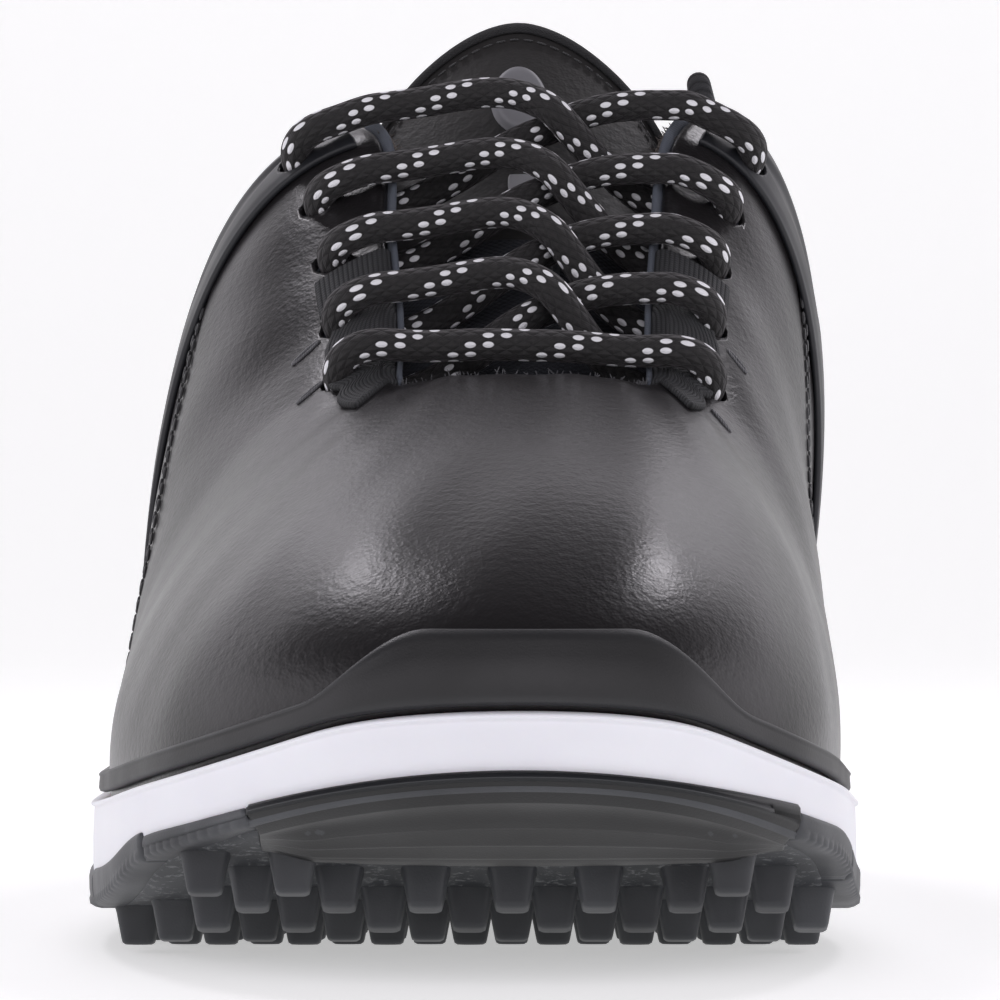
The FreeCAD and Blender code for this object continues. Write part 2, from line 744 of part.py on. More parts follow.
def throat_facing(medial):
    """Reinforcement under the eyelet row; its edge shows past the leather."""
    ends = sorted((a_at_rim(104.0, medial), a_at_rim(EYESTAY_END_T - 3.0, medial)))
    low = lambda a: v_from_rim(a, FACING_WIDTH)
    shape = wall_panel(ends[0], ends[1], low, 1.0, -FACING_DEPTH, -FACING_DEPTH - REINFORCEMENT)
    return with_eyelet_holes(shape, (1,) if medial else (-1,))


TOE_PUFF_T = 48.0
TOE_PUFF_TOP_V = 0.55
COUNTER_T = 236.0
COUNTER_TOP_V = 0.52


def toe_puff():
    a0, a1 = a_at(TOE_PUFF_T, False), a_at(TOE_PUFF_T, True)
    return wall_panel(a0, a1, LINING_FOOT_V, TOE_PUFF_TOP_V, -FACING_DEPTH, -FACING_DEPTH - REINFORCEMENT)


def heel_counter():
    a0, a1 = a_at(COUNTER_T, True), a_at(COUNTER_T, False) + 1.0
    return wall_panel(a0, a1, LINING_FOOT_V, COUNTER_TOP_V, -FACING_DEPTH, -FACING_DEPTH - REINFORCEMENT)


COLLAR_START_T = 177.0
COLLAR_LOW_V = 0.58
COLLAR_OUT = -2.0
COLLAR_GAP = 0.7


def collar_rise(a):
    """How far the padded collar stands above the leather's rim, as v: most at the two front corners."""
    t = WALL(a)[3]
    return 1.02 + 0.085 * smooth(COLLAR_START_T - 1.0, 183.0, t) * smooth(207.0, 185.0, t)


def collar_pad(a, v):
    """Pad thickness: thin at its lower edge and at the very top, full between."""
    t = WALL(a)[3]
    front = smooth(COLLAR_START_T - 4.0, 200.0, t)
    share = smooth(COLLAR_LOW_V, 0.85, v) * (1.0 - 0.45 * smooth(1.0, 1.1, v))
    return 0.8 + (COLLAR_PAD - 0.8) * share * (0.35 + 0.65 * front)


def collar_ends():
    return a_at_rim(COLLAR_START_T, True), a_at_rim(COLLAR_START_T, False) + 1.0


def collar_foam():
    a0, a1 = collar_ends()
    inner = lambda a, v: COLLAR_OUT - collar_pad(a, v)
    return wall_panel(a0, a1, COLLAR_LOW_V, collar_rise, COLLAR_OUT, inner, columns=60, rows=14)


def collar_lining():
    a0, a1 = collar_ends()
    outer = lambda a, v: COLLAR_OUT - COLLAR_GAP - collar_pad(a, v)
    inner = lambda a, v: outer(a, v) - LINING
    return wall_panel(a0, a1, COLLAR_LOW_V, collar_rise, outer, inner, columns=60, rows=14)


def quarter_lining():
    v_low, v_high = LINING_FOOT_V, COLLAR_LOW_V - 0.015
    a_low = seam(True, SEAM_GAP_A, v_low, v_high)
    lateral = seam(False, -SEAM_GAP_A, v_low, v_high)
    a_high = lambda q: lateral(q) + 1.0
    return wall_panel(a_low, a_high, v_low, v_high, -LINING_DEPTH, -LINING_DEPTH - LINING, columns=60)


def overlay(medial):
    """The saddle band from the eyestay's top corner down to the rand."""
    top = a_at_rim(162.0, medial), a_at_rim(176.0, medial)
    foot = a_at(146.0, medial), a_at(172.0, medial)

    def edge(k):
        return lambda q: foot[k] + (top[k] - foot[k]) * smooth(-0.1, 1.0, q)

    a_low, a_high = (edge(0), edge(1)) if medial else (edge(1), edge(0))
    high = lambda a: v_from_rim(a, 3.0)
    shape = wall_panel(a_low, a_high, above_rand, high, OVERLAY, 0.1, columns=12, rows=24)
    return with_eyelet_holes(shape)


# Half the backstay's width as a share of the perimeter.
BACKSTAY_HALF_A = 0.011
BACKSTAY_TOP_V = 0.985


def backstay():
    a0, a1 = A_HEEL - BACKSTAY_HALF_A, A_HEEL + BACKSTAY_HALF_A
    return wall_panel(a0, a1, above_rand, BACKSTAY_TOP_V, 0.1 + BACKSTAY, 0.1, columns=8, rows=20)


WEBBING_WIDTH = 7.6
WEBBING_PULL = 4.4
# Reach of the narrowing at each row, as a share of the perimeter.
WEBBING_PULL_A = 0.0067


def webbing(medial):
    """Woven lace-loop tape along the throat over the two lowest eyelet rows, drawn narrower at each row."""
    side = 1 if medial else -1
    ends = sorted((a_at_rim(106.5, medial), a_at_rim(134.0, medial)))
    rows = [a_at_rim(t, medial) for t in LACE_ROWS_T[:2]]

    def low(a):
        pull = max(math.exp(-(((a - r) / WEBBING_PULL_A) ** 2)) for r in rows)
        return v_from_rim(a, WEBBING_WIDTH - WEBBING_PULL * pull)

    shape = wall_panel(ends[0], ends[1], low, 0.995, 0.1 + WEBBING, 0.1, columns=30, rows=5)
    for row in (0, 1):
        centre, n, inward = EYELETS[row, side]
        shape = shape.cut(Part.makeCylinder(EYELET_HOLE_R + 0.05, 16.0, centre - n * 8.0, n))
    return shape


# ---- tongue ----
def tongue_point(t, x, d=0.0):
    """Point on the tongue's face at t and x from its middle, moved out by d."""

    def face(t, x):
        z = TONGUE(t)[0]
        return V(tongue_centre_x(t) + x, t, z - TONGUE_ARCH * x * x)

    step = 0.05
    p = face(t, x)
    normal = (face(t, x + step) - face(t, x - step)).cross(face(t + step, x) - face(t - step, x)).normalize()
    p = p + normal * d
    return to_row(p.x, p.y, p.z)


def tongue_top_t(s):
    """Where the tongue ends along t, at the share s of its half width."""
    return TONGUE_TOP_T - TONGUE_TOP_FALL * abs(s) ** 1.7 - TONGUE_CORNER_FALL * abs(s) ** 8


def tongue_panel(t_low, t_high, width, d_out, d_in, columns=22, rows=14):
    """A sheet of the tongue between two t limits, each a number or a function of the share s across it."""

    def value(x, *args):
        return x(*args) if callable(x) else x

    outer, inner = [], []
    for s in spread(-1.0, 1.0, columns):
        line_out, line_in = [], []
        for q in spread(0.0, 1.0, rows):
            t = value(t_low, s) * (1 - q) + value(t_high, s) * q
            x = s * TONGUE(t)[1] * width
            line_out.append(tongue_point(t, x, value(d_out, t)))
            line_in.append(tongue_point(t, x, value(d_in, t)))
        outer.append(line_out)
        inner.append(line_in)
    return grid_solid(outer, inner)


TONGUE_SKIN = 1.0
TONGUE_FOAM = 3.6
TONGUE_LINING = 0.7


def tongue_face():
    return tongue_panel(TONGUE_SPLIT_T, tongue_top_t, 1.0, 0.0, -TONGUE_SKIN)


def tongue_mesh():
    return tongue_panel(TONGUE_BOTTOM_T, TONGUE_SPLIT_T - 0.3, 1.0, 0.0, -TONGUE_SKIN)


def tongue_foam():
    top = -TONGUE_SKIN - GAP
    high = lambda s: tongue_top_t(s) - 0.5
    return tongue_panel(TONGUE_BOTTOM_T + 5.0, high, 0.96, top, top - TONGUE_FOAM)


def tongue_lining():
    top = -TONGUE_SKIN - 2 * GAP - TONGUE_FOAM
    return tongue_panel(TONGUE_BOTTOM_T + 2.0, tongue_top_t, 1.0, top, top - TONGUE_LINING)


def tongue_binding():
    low = lambda s: tongue_top_t(s) - 4.5
    high = lambda s: tongue_top_t(s) + 0.8
    return tongue_panel(low, high, 1.0, 0.15 + 0.9, 0.15, rows=4)


def tongue_keeper():
    return tongue_panel(140.6, 144.2, 0.2, 0.1 + 0.8, 0.1, columns=5, rows=4)


def tongue_patch():
    """A plain oval patch."""
    centre, long_half, short_half = 175.0, 5.5, 0.17

    def edge(sign):
        return lambda s: centre + sign * long_half * math.sqrt(max(1.0 - 0.92 * s * s, 0.0))

    return tongue_panel(edge(-1), edge(1), short_half, 0.1 + 0.6, 0.1, columns=11, rows=6)


# ---- lace ----
def above_tongue(x, t, gap):
    """Height at plan place (x, t) that keeps the lace's surface gap away from the tongue's face."""
    dx = x - tongue_centre_x(t)
    rise = (TONGUE(t + 1.0)[0] - TONGUE(t - 1.0)[0]) / 2.0
    steepness = math.sqrt(1.0 + rise**2 + (2 * TONGUE_ARCH * dx) ** 2)
    return TONGUE(t)[0] - TONGUE_ARCH * dx * dx + (LACE_R + gap) * steepness


UNDER_CLEAR = 0.85
UNDER_DEPTH = FACING_DEPTH + REINFORCEMENT + LACE_R + UNDER_CLEAR


def over_height(row):
    cover = (0.1 + WEBBING, 0.1 + WEBBING, 0.0, 0.0, OVERLAY)[row]
    return cover + LACE_R + LACE_CLEAR


def turn(row, side):
    """The half circle round the eyestay strip, from above it, through the eyelet, to below it."""
    centre, n, inward = EYELETS[row, side]
    high, low = over_height(row), -UNDER_DEPTH
    middle, radius = (high + low) / 2, (high - low) / 2
    points = []
    for angle in (90, 54, 18, -18, -54, -90):
        c, s = math.cos(math.radians(angle)), math.sin(math.radians(angle))
        points.append(centre + inward * (radius - radius * c) + n * (middle + radius * s))
    return points


CROSS_LIFT = 2 * LACE_R + 3.5
CROSS_PLACES = (15.0, 10.0, 5.0, 0.0, -5.0, -10.0)
CROSS_SHARES = (0.0, 0.46, 0.98, 1.0, 1.0, 0.8)
CROSS_SPREAD = 1.6
MIN_SPACING = 4.5


def rim_half(t, side):
    """Distance from the throat's middle line to the rim."""
    return abs(WALL(a_at_rim(t, side > 0))[2] - THROAT_CENTRE_X)


def beside_eyestay(x, t, side, depth):
    """Height at plan place (x, t) that keeps the lace's axis depth away from the eyestay's outer face."""
    if abs(x - THROAT_CENTRE_X) <= rim_half(t, side) + 0.2:
        a, v = a_at_rim(t, side > 0), 1.0
    else:
        a, v = locate(x, t, side > 0)
    return wall_point(a, v)[2] + depth / wall_normal(a, v).z


def crossing(low_row, low_side, on_top):
    """Points from the turn below row low_row on low_side to the turn above the next row on the other side.
    The two strands of a pair cross on the throat's middle line."""
    under, over = turn(low_row, low_side)[-1], turn(low_row + 1, -low_side)[0]
    t_under, t_over = under.y + LENGTH / 2, over.y + LENGTH / 2
    t_middle = (LACE_ROWS_T[low_row] + LACE_ROWS_T[low_row + 1]) / 2
    reach_under = (under.x - THROAT_CENTRE_X) * low_side
    reach_over = (THROAT_CENTRE_X - over.x) * low_side
    rim_under, rim_over = rim_half(t_under, low_side), rim_half(t_over, -low_side)
    places = [(rim_under + reach_under) / 2, rim_under]
    places += CROSS_PLACES
    places += [-rim_over, -(rim_over + reach_over) / 2]
    lifts = dict(zip(CROSS_PLACES, CROSS_SHARES))
    points, last = [], reach_under
    for d in places:
        if last - d < MIN_SPACING or d + reach_over < MIN_SPACING:
            continue
        last = d
        x = THROAT_CENTRE_X + low_side * d
        if d >= 0.0:
            u = d / reach_under
            t = t_middle + (t_under - t_middle) * u - CROSS_SPREAD * 4 * u * (1 - u)
        else:
            u = -d / reach_over
            t = t_middle + (t_over - t_middle) * u + CROSS_SPREAD * 4 * u * (1 - u)
        if d > CROSS_PLACES[0]:
            z = beside_eyestay(x, t, low_side, -UNDER_DEPTH)
        elif d < CROSS_PLACES[-1]:
            z = beside_eyestay(x, t, -low_side, over_height(low_row + 1))
        else:
            z = above_tongue(x, t, LACE_CLEAR) + (lifts[d] * CROSS_LIFT if on_top else 0.0)
        points.append(V(x, t - LENGTH / 2, z))
    return points


def lace_end(side):
    """The loose end's way down inside the quarter, from the top eyelet to where the aglet starts."""
    centre, n, inward = EYELETS[4, side]
    return [centre - n * 6.0, centre + V(side * 0.3, 3.5, -14.0), centre + V(side * 1.6, 8.5, -26.0)]


def lace_path():
    """One lace: from the lateral end down the crossings to the straight bar, and up to the medial end."""
    path = list(reversed(lace_end(-1)))
    side = -1
    top = turn(4, side)
    path += list(reversed(top[:3]))
    for low_row in (3, 2, 1, 0):
        points = crossing(low_row, -side, side < 0)
        path += list(reversed(points))
        side = -side
        path += list(reversed(turn(low_row, side)))
    start, end = turn(0, side)[0], turn(0, -side)[0]
    for share in (0.25, 0.5, 0.75):
        p = start + (end - start) * share
        path.append(V(p.x, p.y, max(p.z, above_tongue(p.x, p.y + LENGTH / 2, LACE_CLEAR))))
    side = -side
    path += turn(0, side)
    for low_row in (0, 1, 2, 3):
        points = crossing(low_row, side, -side < 0)
        path += points
        side = -side
        path += turn(low_row + 1, side) if low_row < 3 else turn(4, side)[:3]
    return path + lace_end(side)


def lace():
    return tube(lace_path(), LACE_R)


def aglets():
    shapes = []
    path = lace_path()
    for tip, before in ((path[0], path[1]), (path[-1], path[-2])):
        direction = (tip - before).normalize()
        shapes.append(Part.makeCylinder(AGLET_R, AGLET_LENGTH, tip + direction * 0.7, direction))
    return Part.makeCompound(shapes)


NODES = {
    "outsole": outsole,
    "midsole": midsole,
    "shank": shank_plate,
    "strobel_board": strobel_board,
    "footbed": footbed,
    "footbed_cover": footbed_cover,
    "rand": rand,
    "vamp": vamp,
    "quarter_medial": quarter_medial,
    "quarter_lateral": quarter_lateral,
    "saddle_band_medial": lambda: overlay(True),
    "saddle_band_lateral": lambda: overlay(False),
    "backstay": backstay,
    "throat_facing_medial": lambda: throat_facing(True),
    "throat_facing_lateral": lambda: throat_facing(False),
    "webbing_medial": lambda: webbing(True),
    "webbing_lateral": lambda: webbing(False),
    "toe_puff": toe_puff,
    "heel_counter": heel_counter,
    "vamp_lining": vamp_lining,
    "quarter_lining": quarter_lining,
    "collar_foam": collar_foam,
    "collar_lining": collar_lining,
    "tongue_face": tongue_face,
    "tongue_mesh": tongue_mesh,
    "tongue_foam": tongue_foam,
    "tongue_lining": tongue_lining,
    "tongue_binding": tongue_binding,
    "tongue_keeper": tongue_keeper,
    "tongue_patch": tongue_patch,
    "lace": lace,
    "aglets": aglets,
}

os.makedirs("parts", exist_ok=True)
for name, make in NODES.items():
    make().exportStep("parts/" + name + ".step")
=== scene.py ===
"""Looks of a right golf shoe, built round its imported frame.

Working units are millimetres in the frame's axes: toe towards -Y, inner (medial) side towards +X,
lug tips on Z = 0. Lengths along the shoe, t, run from the toe tip, so Y = t - LENGTH / 2. Meshes are
scaled to metres as they are made.
"""
import math

import bmesh
import bpy
import numpy as np
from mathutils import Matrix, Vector


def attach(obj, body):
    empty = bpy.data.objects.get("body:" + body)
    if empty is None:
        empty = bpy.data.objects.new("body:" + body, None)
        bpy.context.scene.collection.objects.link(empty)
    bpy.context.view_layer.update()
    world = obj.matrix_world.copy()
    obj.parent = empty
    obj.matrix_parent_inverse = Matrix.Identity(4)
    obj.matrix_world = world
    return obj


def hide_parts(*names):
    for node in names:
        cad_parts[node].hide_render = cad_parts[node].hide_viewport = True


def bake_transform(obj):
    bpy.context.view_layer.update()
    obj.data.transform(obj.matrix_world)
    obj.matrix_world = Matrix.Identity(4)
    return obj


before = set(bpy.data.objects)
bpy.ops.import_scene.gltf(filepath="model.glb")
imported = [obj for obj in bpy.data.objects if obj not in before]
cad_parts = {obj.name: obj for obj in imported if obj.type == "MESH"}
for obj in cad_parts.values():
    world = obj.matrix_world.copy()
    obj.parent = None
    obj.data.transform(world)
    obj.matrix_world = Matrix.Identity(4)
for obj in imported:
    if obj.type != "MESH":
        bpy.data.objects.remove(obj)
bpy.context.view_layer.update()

MM = 0.001
LENGTH = 304.0
THROAT_CENTRE_X = 8.0
TOE_CENTRE_X = 7.0

# ---- shape tables: the same outline, walls and rim as the frame ----
# Sole edge x and t, swell and rise of the wall's lower handle, rim x, t and z, and the reach of the
# upper handle in x, t and z.
STATIONS = (
    (7.0, 0.0, 2.7, 19.0, 8.0, 103.0, 84.5, 0.0, -54.5, 14.6),
    (30.0, 5.0, 2.5, 20.0, 17.0, 103.3, 84.2, 3.5, -52.5, 13.8),
    (46.5, 22.0, 3.0, 23.0, 24.0, 104.0, 83.3, 9.0, -44.0, 13.0),
    (53.5, 50.0, 3.0, 24.0, 28.5, 106.5, 83.0, 12.0, -29.0, 10.8),
    (56.0, 82.0, 3.5, 25.0, 29.0, 114.0, 87.0, 16.0, -12.0, 12.0),
    (54.0, 112.0, 6.5, 33.0, 29.5, 127.0, 96.5, 20.0, -4.0, 8.5),
    (49.5, 140.0, 12.0, 41.0, 30.8, 143.0, 109.0, 23.0, 0.0, 8.0),
    (46.0, 168.0, 18.0, 45.0, 34.0, 163.0, 124.5, 26.0, 2.0, 8.0),
    (44.5, 198.0, 13.0, 47.0, 43.0, 180.0, 126.0, 14.0, 4.0, 11.0),
    (45.0, 230.0, 8.0, 29.0, 43.0, 208.0, 106.0, 9.0, 4.0, 14.0),
    (44.5, 262.0, 5.0, 23.0, 38.0, 242.0, 96.0, 6.0, 4.0, 16.0),
    (36.0, 287.0, 5.0, 24.0, 30.0, 272.0, 98.5, 3.0, 5.0, 16.5),
    (21.0, 300.0, 5.0, 24.0, 17.5, 290.0, 103.0, 1.5, 3.0, 18.0),
    (5.0, 304.0, 5.0, 24.0, 5.0, 294.5, 105.0, 0.0, 2.0, 19.0),
    (-11.5, 300.0, 5.0, 24.0, -7.5, 290.0, 103.0, -1.5, 3.0, 18.0),
    (-26.5, 287.0, 5.0, 24.0, -20.0, 272.0, 97.0, -3.0, 5.0, 16.0),
    (-35.0, 262.0, 5.5, 23.0, -28.0, 242.0, 93.0, -6.5, 4.0, 14.0),
    (-40.0, 230.0, 9.0, 29.0, -33.0, 208.0, 103.0, -10.0, 4.0, 13.0),
    (-45.0, 198.0, 10.0, 47.0, -25.0, 179.0, 124.0, -21.0, 4.0, 11.0),
    (-49.5, 168.0, 7.0, 45.0, -16.0, 162.0, 123.0, -34.0, 2.0, 8.0),
    (-53.5, 140.0, 6.0, 38.0, -14.8, 143.0, 109.0, -29.0, 0.0, 9.0),
    (-56.0, 112.0, 3.5, 27.0, -13.5, 127.0, 96.5, -22.0, -4.0, 10.0),
    (-55.0, 82.0, 3.5, 25.0, -13.0, 114.0, 87.0, -19.0, -12.0, 10.0),
    (-49.5, 50.0, 3.0, 24.0, -12.5, 106.5, 83.0, -13.5, -29.0, 11.3),
    (-38.0, 22.0, 3.0, 23.0, -8.0, 104.0, 83.3, -9.0, -44.0, 13.0),
    (-17.0, 5.0, 2.5, 20.0, -1.0, 103.3, 84.2, -3.5, -52.5, 13.8),
)
HEEL_STATION = 13
# Height of the midsole's top edge: (t, z).
MIDSOLE_EDGE = (
    (0, 37.7), (4, 36.2), (9, 33.6), (14, 31.4), (35, 26.4), (60, 23.2), (82, 21.6),
    (105, 21.0), (130, 21.8), (165, 25.0), (200, 28.5), (235, 31.5), (270, 33.6), (304, 35.0),
)
# The tongue's middle line and half width: (t, z, half width).
TONGUE_LINE = (
    (90, 68.6, 18.0), (100, 72.2, 22.0), (107, 75.2, 25.5), (114, 79.2, 27.5), (127, 88.8, 29.0),
    (143, 101.4, 29.5), (160, 115.4, 28.8), (172, 127.4, 27.5), (180, 136.0, 26.8), (190, 147.4, 25.6),
)
UPPER_INSET = 2.5
FEATHER_LIFT = 0.4
RIM_UNIT = 100.0
LEATHER = 1.4
LUG_HEIGHT = 5.5
OUTSOLE_PLATE = 2.6


# ---- curves ----
class Spline:
    """Smooth cubic curve through value rows at rising knots; with a period it closes on itself."""

    def __init__(self, knots, values, period=None):
        k, v = np.array(knots, float), np.array(values, float)
        self.period = period
        if period is not None:
            k, v = np.append(k, k[0] + period), np.vstack([v, v[:1]])
        n = len(k) - (period is not None)
        matrix, right = np.eye(n), np.zeros((n, v.shape[1]))
        for i in range(n):
            if period is None and i in (0, n - 1):
                continue
            before, after = (i - 1) % n, (i + 1) % n
            step, last = k[i + 1] - k[i], k[before + 1] - k[before]
            matrix[i, i] = 0.0
            for column, share in ((before, last), (i, 2 * (last + step)), (after, step)):
                matrix[i, column] += share
            right[i] = 6 * ((v[i + 1] - v[i]) / step - (v[i] - v[before]) / last)
        bends = np.linalg.solve(matrix, right)
        if period is not None:
            bends = np.vstack([bends, bends[:1]])
        self.k, self.v, self.bends = k, v, bends

    def __call__(self, u):
        u, k = np.asarray(u, float), self.k
        if self.period is not None:
            u = k[0] + (u - k[0]) % self.period
        u = np.clip(u, k[0], k[-1])
        i = np.clip(np.searchsorted(k, u, side="right") - 1, 0, len(k) - 2)
        h = k[i + 1] - k[i]
        p = ((k[i + 1] - u) / h)[..., None]
        q, h = 1 - p, h[..., None]
        bend = (p**3 - p) * self.bends[i] + (q**3 - q) * self.bends[i + 1]
        return p * self.v[i] + q * self.v[i + 1] + bend * h * h / 6


def smooth(edge0, edge1, x):
    s = np.clip((np.asarray(x, float) - edge0) / (edge1 - edge0), 0.0, 1.0)
    return s * s * (3 - 2 * s)


def unit(p):
    return p / np.maximum(np.linalg.norm(p, axis=-1, keepdims=True), 1e-12)


def bisect(function, low, high, target):
    """Where a monotone function reaches target between low and high, element by element."""
    low, high, target = np.broadcast_arrays(low, high, target)
    low, high = low.astype(float), high.astype(float)
    rising = function(high) > function(low)
    for _ in range(34):
        mid = (low + high) / 2
        below = (function(mid) < target) == rising
        low, high = np.where(below, mid, low), np.where(below, high, mid)
    return (low + high) / 2


def arc_length(points):
    return np.concatenate([[0.0], np.cumsum(np.linalg.norm(np.diff(points, axis=0), axis=1))])


def resample(points, step):
    """Points evenly along a smooth curve through the given ones."""
    knots = arc_length(points)
    curve = Spline(knots, points)
    fine = curve(np.linspace(0, knots[-1], len(points) * 12))
    along = arc_length(fine)
    even = np.linspace(0, along[-1], max(int(along[-1] / step), 3))
    return np.stack([np.interp(even, along, fine[:, c]) for c in range(fine.shape[1])], axis=1)


# ---- the shoe's own coordinates: a runs round the sole from the toe by the medial side, v up the wall ----
ring_xy = np.array([s[:2] for s in STATIONS + STATIONS[:1]])
ring_length = arc_length(ring_xy)
KNOTS = ring_length[:-1] / ring_length[-1]
PERIMETER = ring_length[-1]
A_HEEL = KNOTS[HEEL_STATION]
EDGE = Spline(KNOTS, [s[:2] for s in STATIONS], 1.0)
WALL = Spline(KNOTS, [s[2:] for s in STATIONS], 1.0)
MIDSOLE_TOP = Spline([k[0] for k in MIDSOLE_EDGE], [k[1:] for k in MIDSOLE_EDGE])
TONGUE = Spline([k[0] for k in TONGUE_LINE], [k[1:] for k in TONGUE_LINE])


def midsole_top(t):
    return MIDSOLE_TOP(t)[..., 0]


def outsole_bottom(t):
    toe = 0.0024 * np.maximum(0.0, 95.0 - t) ** 2 + 1.6 * np.exp(-(((t - 36.0) / 13.0) ** 2))
    return LUG_HEIGHT + toe + 0.006 * np.maximum(0.0, t - 286.0) ** 2


def edge(a, inset=0.0):
    """Plan points (x, t) of the sole's outline, moved in by inset."""
    p = EDGE(a)
    d = unit(EDGE(np.asarray(a, float) + 1e-4) - p)
    return p[..., 0] - inset * d[..., 1], p[..., 1] + inset * d[..., 0]


def wall(a, v):
    """Points (x, t, z) on the upper's outer face."""
    a, v = np.broadcast_arrays(np.asarray(a, float), np.asarray(v, float))
    swell, rise, rim_x, rim_t, rim_z, out_x, out_t, down = np.moveaxis(WALL(a), -1, 0)
    foot, swollen = edge(a, UPPER_INSET), edge(a, UPPER_INSET - swell)
    z0 = midsole_top(EDGE(a)[..., 1]) + FEATHER_LIFT
    corners = (
        (foot[0], foot[1], z0), (swollen[0], swollen[1], z0 + rise),
        (rim_x + out_x, rim_t + out_t, rim_z - down), (rim_x, rim_t, rim_z),
    )
    weights = (1 - v) ** 3, 3 * v * (1 - v) ** 2, 3 * v * v * (1 - v), v**3
    return sum(w[..., None] * np.stack(c, axis=-1) for w, c in zip(weights, corners))


def upper(a, v, d=0.0):
    """Points on the upper's face moved out by d. Above the rim, v counts in units of RIM_UNIT mm."""
    a, v, d = np.broadcast_arrays(*(np.asarray(x, float) for x in (a, v, d)))
    c = np.minimum(v, 1.0)
    p = wall(a, c)
    along = wall(a + 1e-3, c) - wall(a - 1e-3, c)
    up = unit(wall(a, np.minimum(c + 1e-3, 1.0)) - wall(a, np.maximum(c - 1e-3, 0.0)))
    beyond = unit(np.array([0.0, 0.0, 1.0]) + 0.5 * unit(wall(a, 1.0) - wall(a, 0.98)))
    turn = smooth(0.98, 1.02, v)[..., None]
    normal = unit(np.cross(along, up * (1 - turn) + beyond * turn))
    p = p + beyond * (np.maximum(v - 1.0, 0.0) * RIM_UNIT)[..., None] + normal * d[..., None]
    p[..., 1] -= LENGTH / 2
    return p


def normal_at(a, v):
    return unit(upper(a, v, 1.0) - upper(a, v, 0.0))


def a_at(t, medial):
    low, high = (0.0, A_HEEL) if medial else (0.0, A_HEEL - 1.0)
    return float(bisect(lambda a: EDGE(a)[..., 1], low, high, t))


def a_at_rim(t, medial):
    low, high = (KNOTS[3], KNOTS[9]) if medial else (KNOTS[-3] - 1.0, KNOTS[-9] - 1.0)
    return float(bisect(lambda a: WALL(a)[..., 3], low, high, t))


def below_rim(a, distance):
    """The v that lies a distance down the wall from the rim; a is a row of values."""
    v = np.linspace(1.0, 0.0, 121)
    p = wall(np.asarray(a)[:, None], v[None, :])
    steps = np.linalg.norm(np.diff(p, axis=1), axis=2)
    walked = np.concatenate([np.zeros((len(p), 1)), np.cumsum(steps, axis=1)], axis=1)
    distance = np.broadcast_to(distance, (len(p),) + np.shape(distance)[1:])
    return np.array([np.interp(distance[i], walked[i], v) for i in range(len(p))])


EYESTAY_END_T = 172.0
A_LATERAL, A_MEDIAL = a_at_rim(EYESTAY_END_T, False), a_at_rim(EYESTAY_END_T, True)


def seam(medial, v, shift=0.0):
    """The vamp's rear seam, forward at the sole and back at the rim."""
    foot, head = a_at(118.0, medial), A_MEDIAL if medial else A_LATERAL
    return foot + (head - foot) * smooth(0.15, 0.95, v) + shift


def rand_v(a):
    """Top edge of the rand, which climbs to a bumper over the toe."""
    x, t = EDGE(a)[..., 0], EDGE(a)[..., 1]
    side = midsole_top(t) + 4.0
    plateau = smooth(31.0, 14.0, np.abs(x - THROAT_CENTRE_X)) * (t < 40)
    return bisect(lambda v: wall(a, v)[..., 2], 0.0, 1.0, side + (47.4 - side) * plateau)


# ---- meshes ----
def finish_mesh(name, verts, faces, uvs, mat, body, merge=False):
    mesh = bpy.data.meshes.new(name)
    mesh.from_pydata((verts * MM).tolist(), [], faces)
    corner = np.empty(len(mesh.loops), np.int32)
    mesh.loops.foreach_get("vertex_index", corner)
    layer = mesh.uv_layers.new(name="UVMap")
    layer.data.foreach_set("uv", uvs[corner].astype(np.float32).ravel())
    tidy = bmesh.new()
    tidy.from_mesh(mesh)
    if merge:
        bmesh.ops.remove_doubles(tidy, verts=tidy.verts, dist=1e-6)
    bmesh.ops.recalc_face_normals(tidy, faces=tidy.faces)
    tidy.to_mesh(mesh)
    tidy.free()
    mesh.polygons.foreach_set("use_smooth", np.ones(len(mesh.polygons), bool))
    mesh.materials.append(mat)
    made = bpy.data.objects.new(name, mesh)
    bpy.context.scene.collection.objects.link(made)
    if body:
        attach(made, body)
    return made


def stands_for(made, slot, *nodes):
    """The piece takes the place of these nodes, which are hidden; the piece and the slot are not used."""
    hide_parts(*nodes)


def grid_faces(rows, columns, start=0, flip=False):
    i, j = np.meshgrid(np.arange(rows - 1), np.arange(columns - 1), indexing="ij")
    k = (start + i * columns + j).ravel()
    quads = np.stack([k, k + columns, k + columns + 1, k + 1], axis=1)
    return (quads[:, ::-1] if flip else quads).tolist()


def grid_uv(grid):
    """Lengths along both directions of a grid, mm."""
    u = np.cumsum(np.linalg.norm(np.diff(grid, axis=0), axis=2), axis=0).mean(axis=1)
    v = np.cumsum(np.linalg.norm(np.diff(grid, axis=1), axis=2), axis=1)
    u = np.broadcast_to(np.concatenate([[0.0], u])[:, None], grid.shape[:2])
    v = np.concatenate([np.zeros((len(grid), 1)), v], axis=1)
    return np.stack([u, v], axis=2)


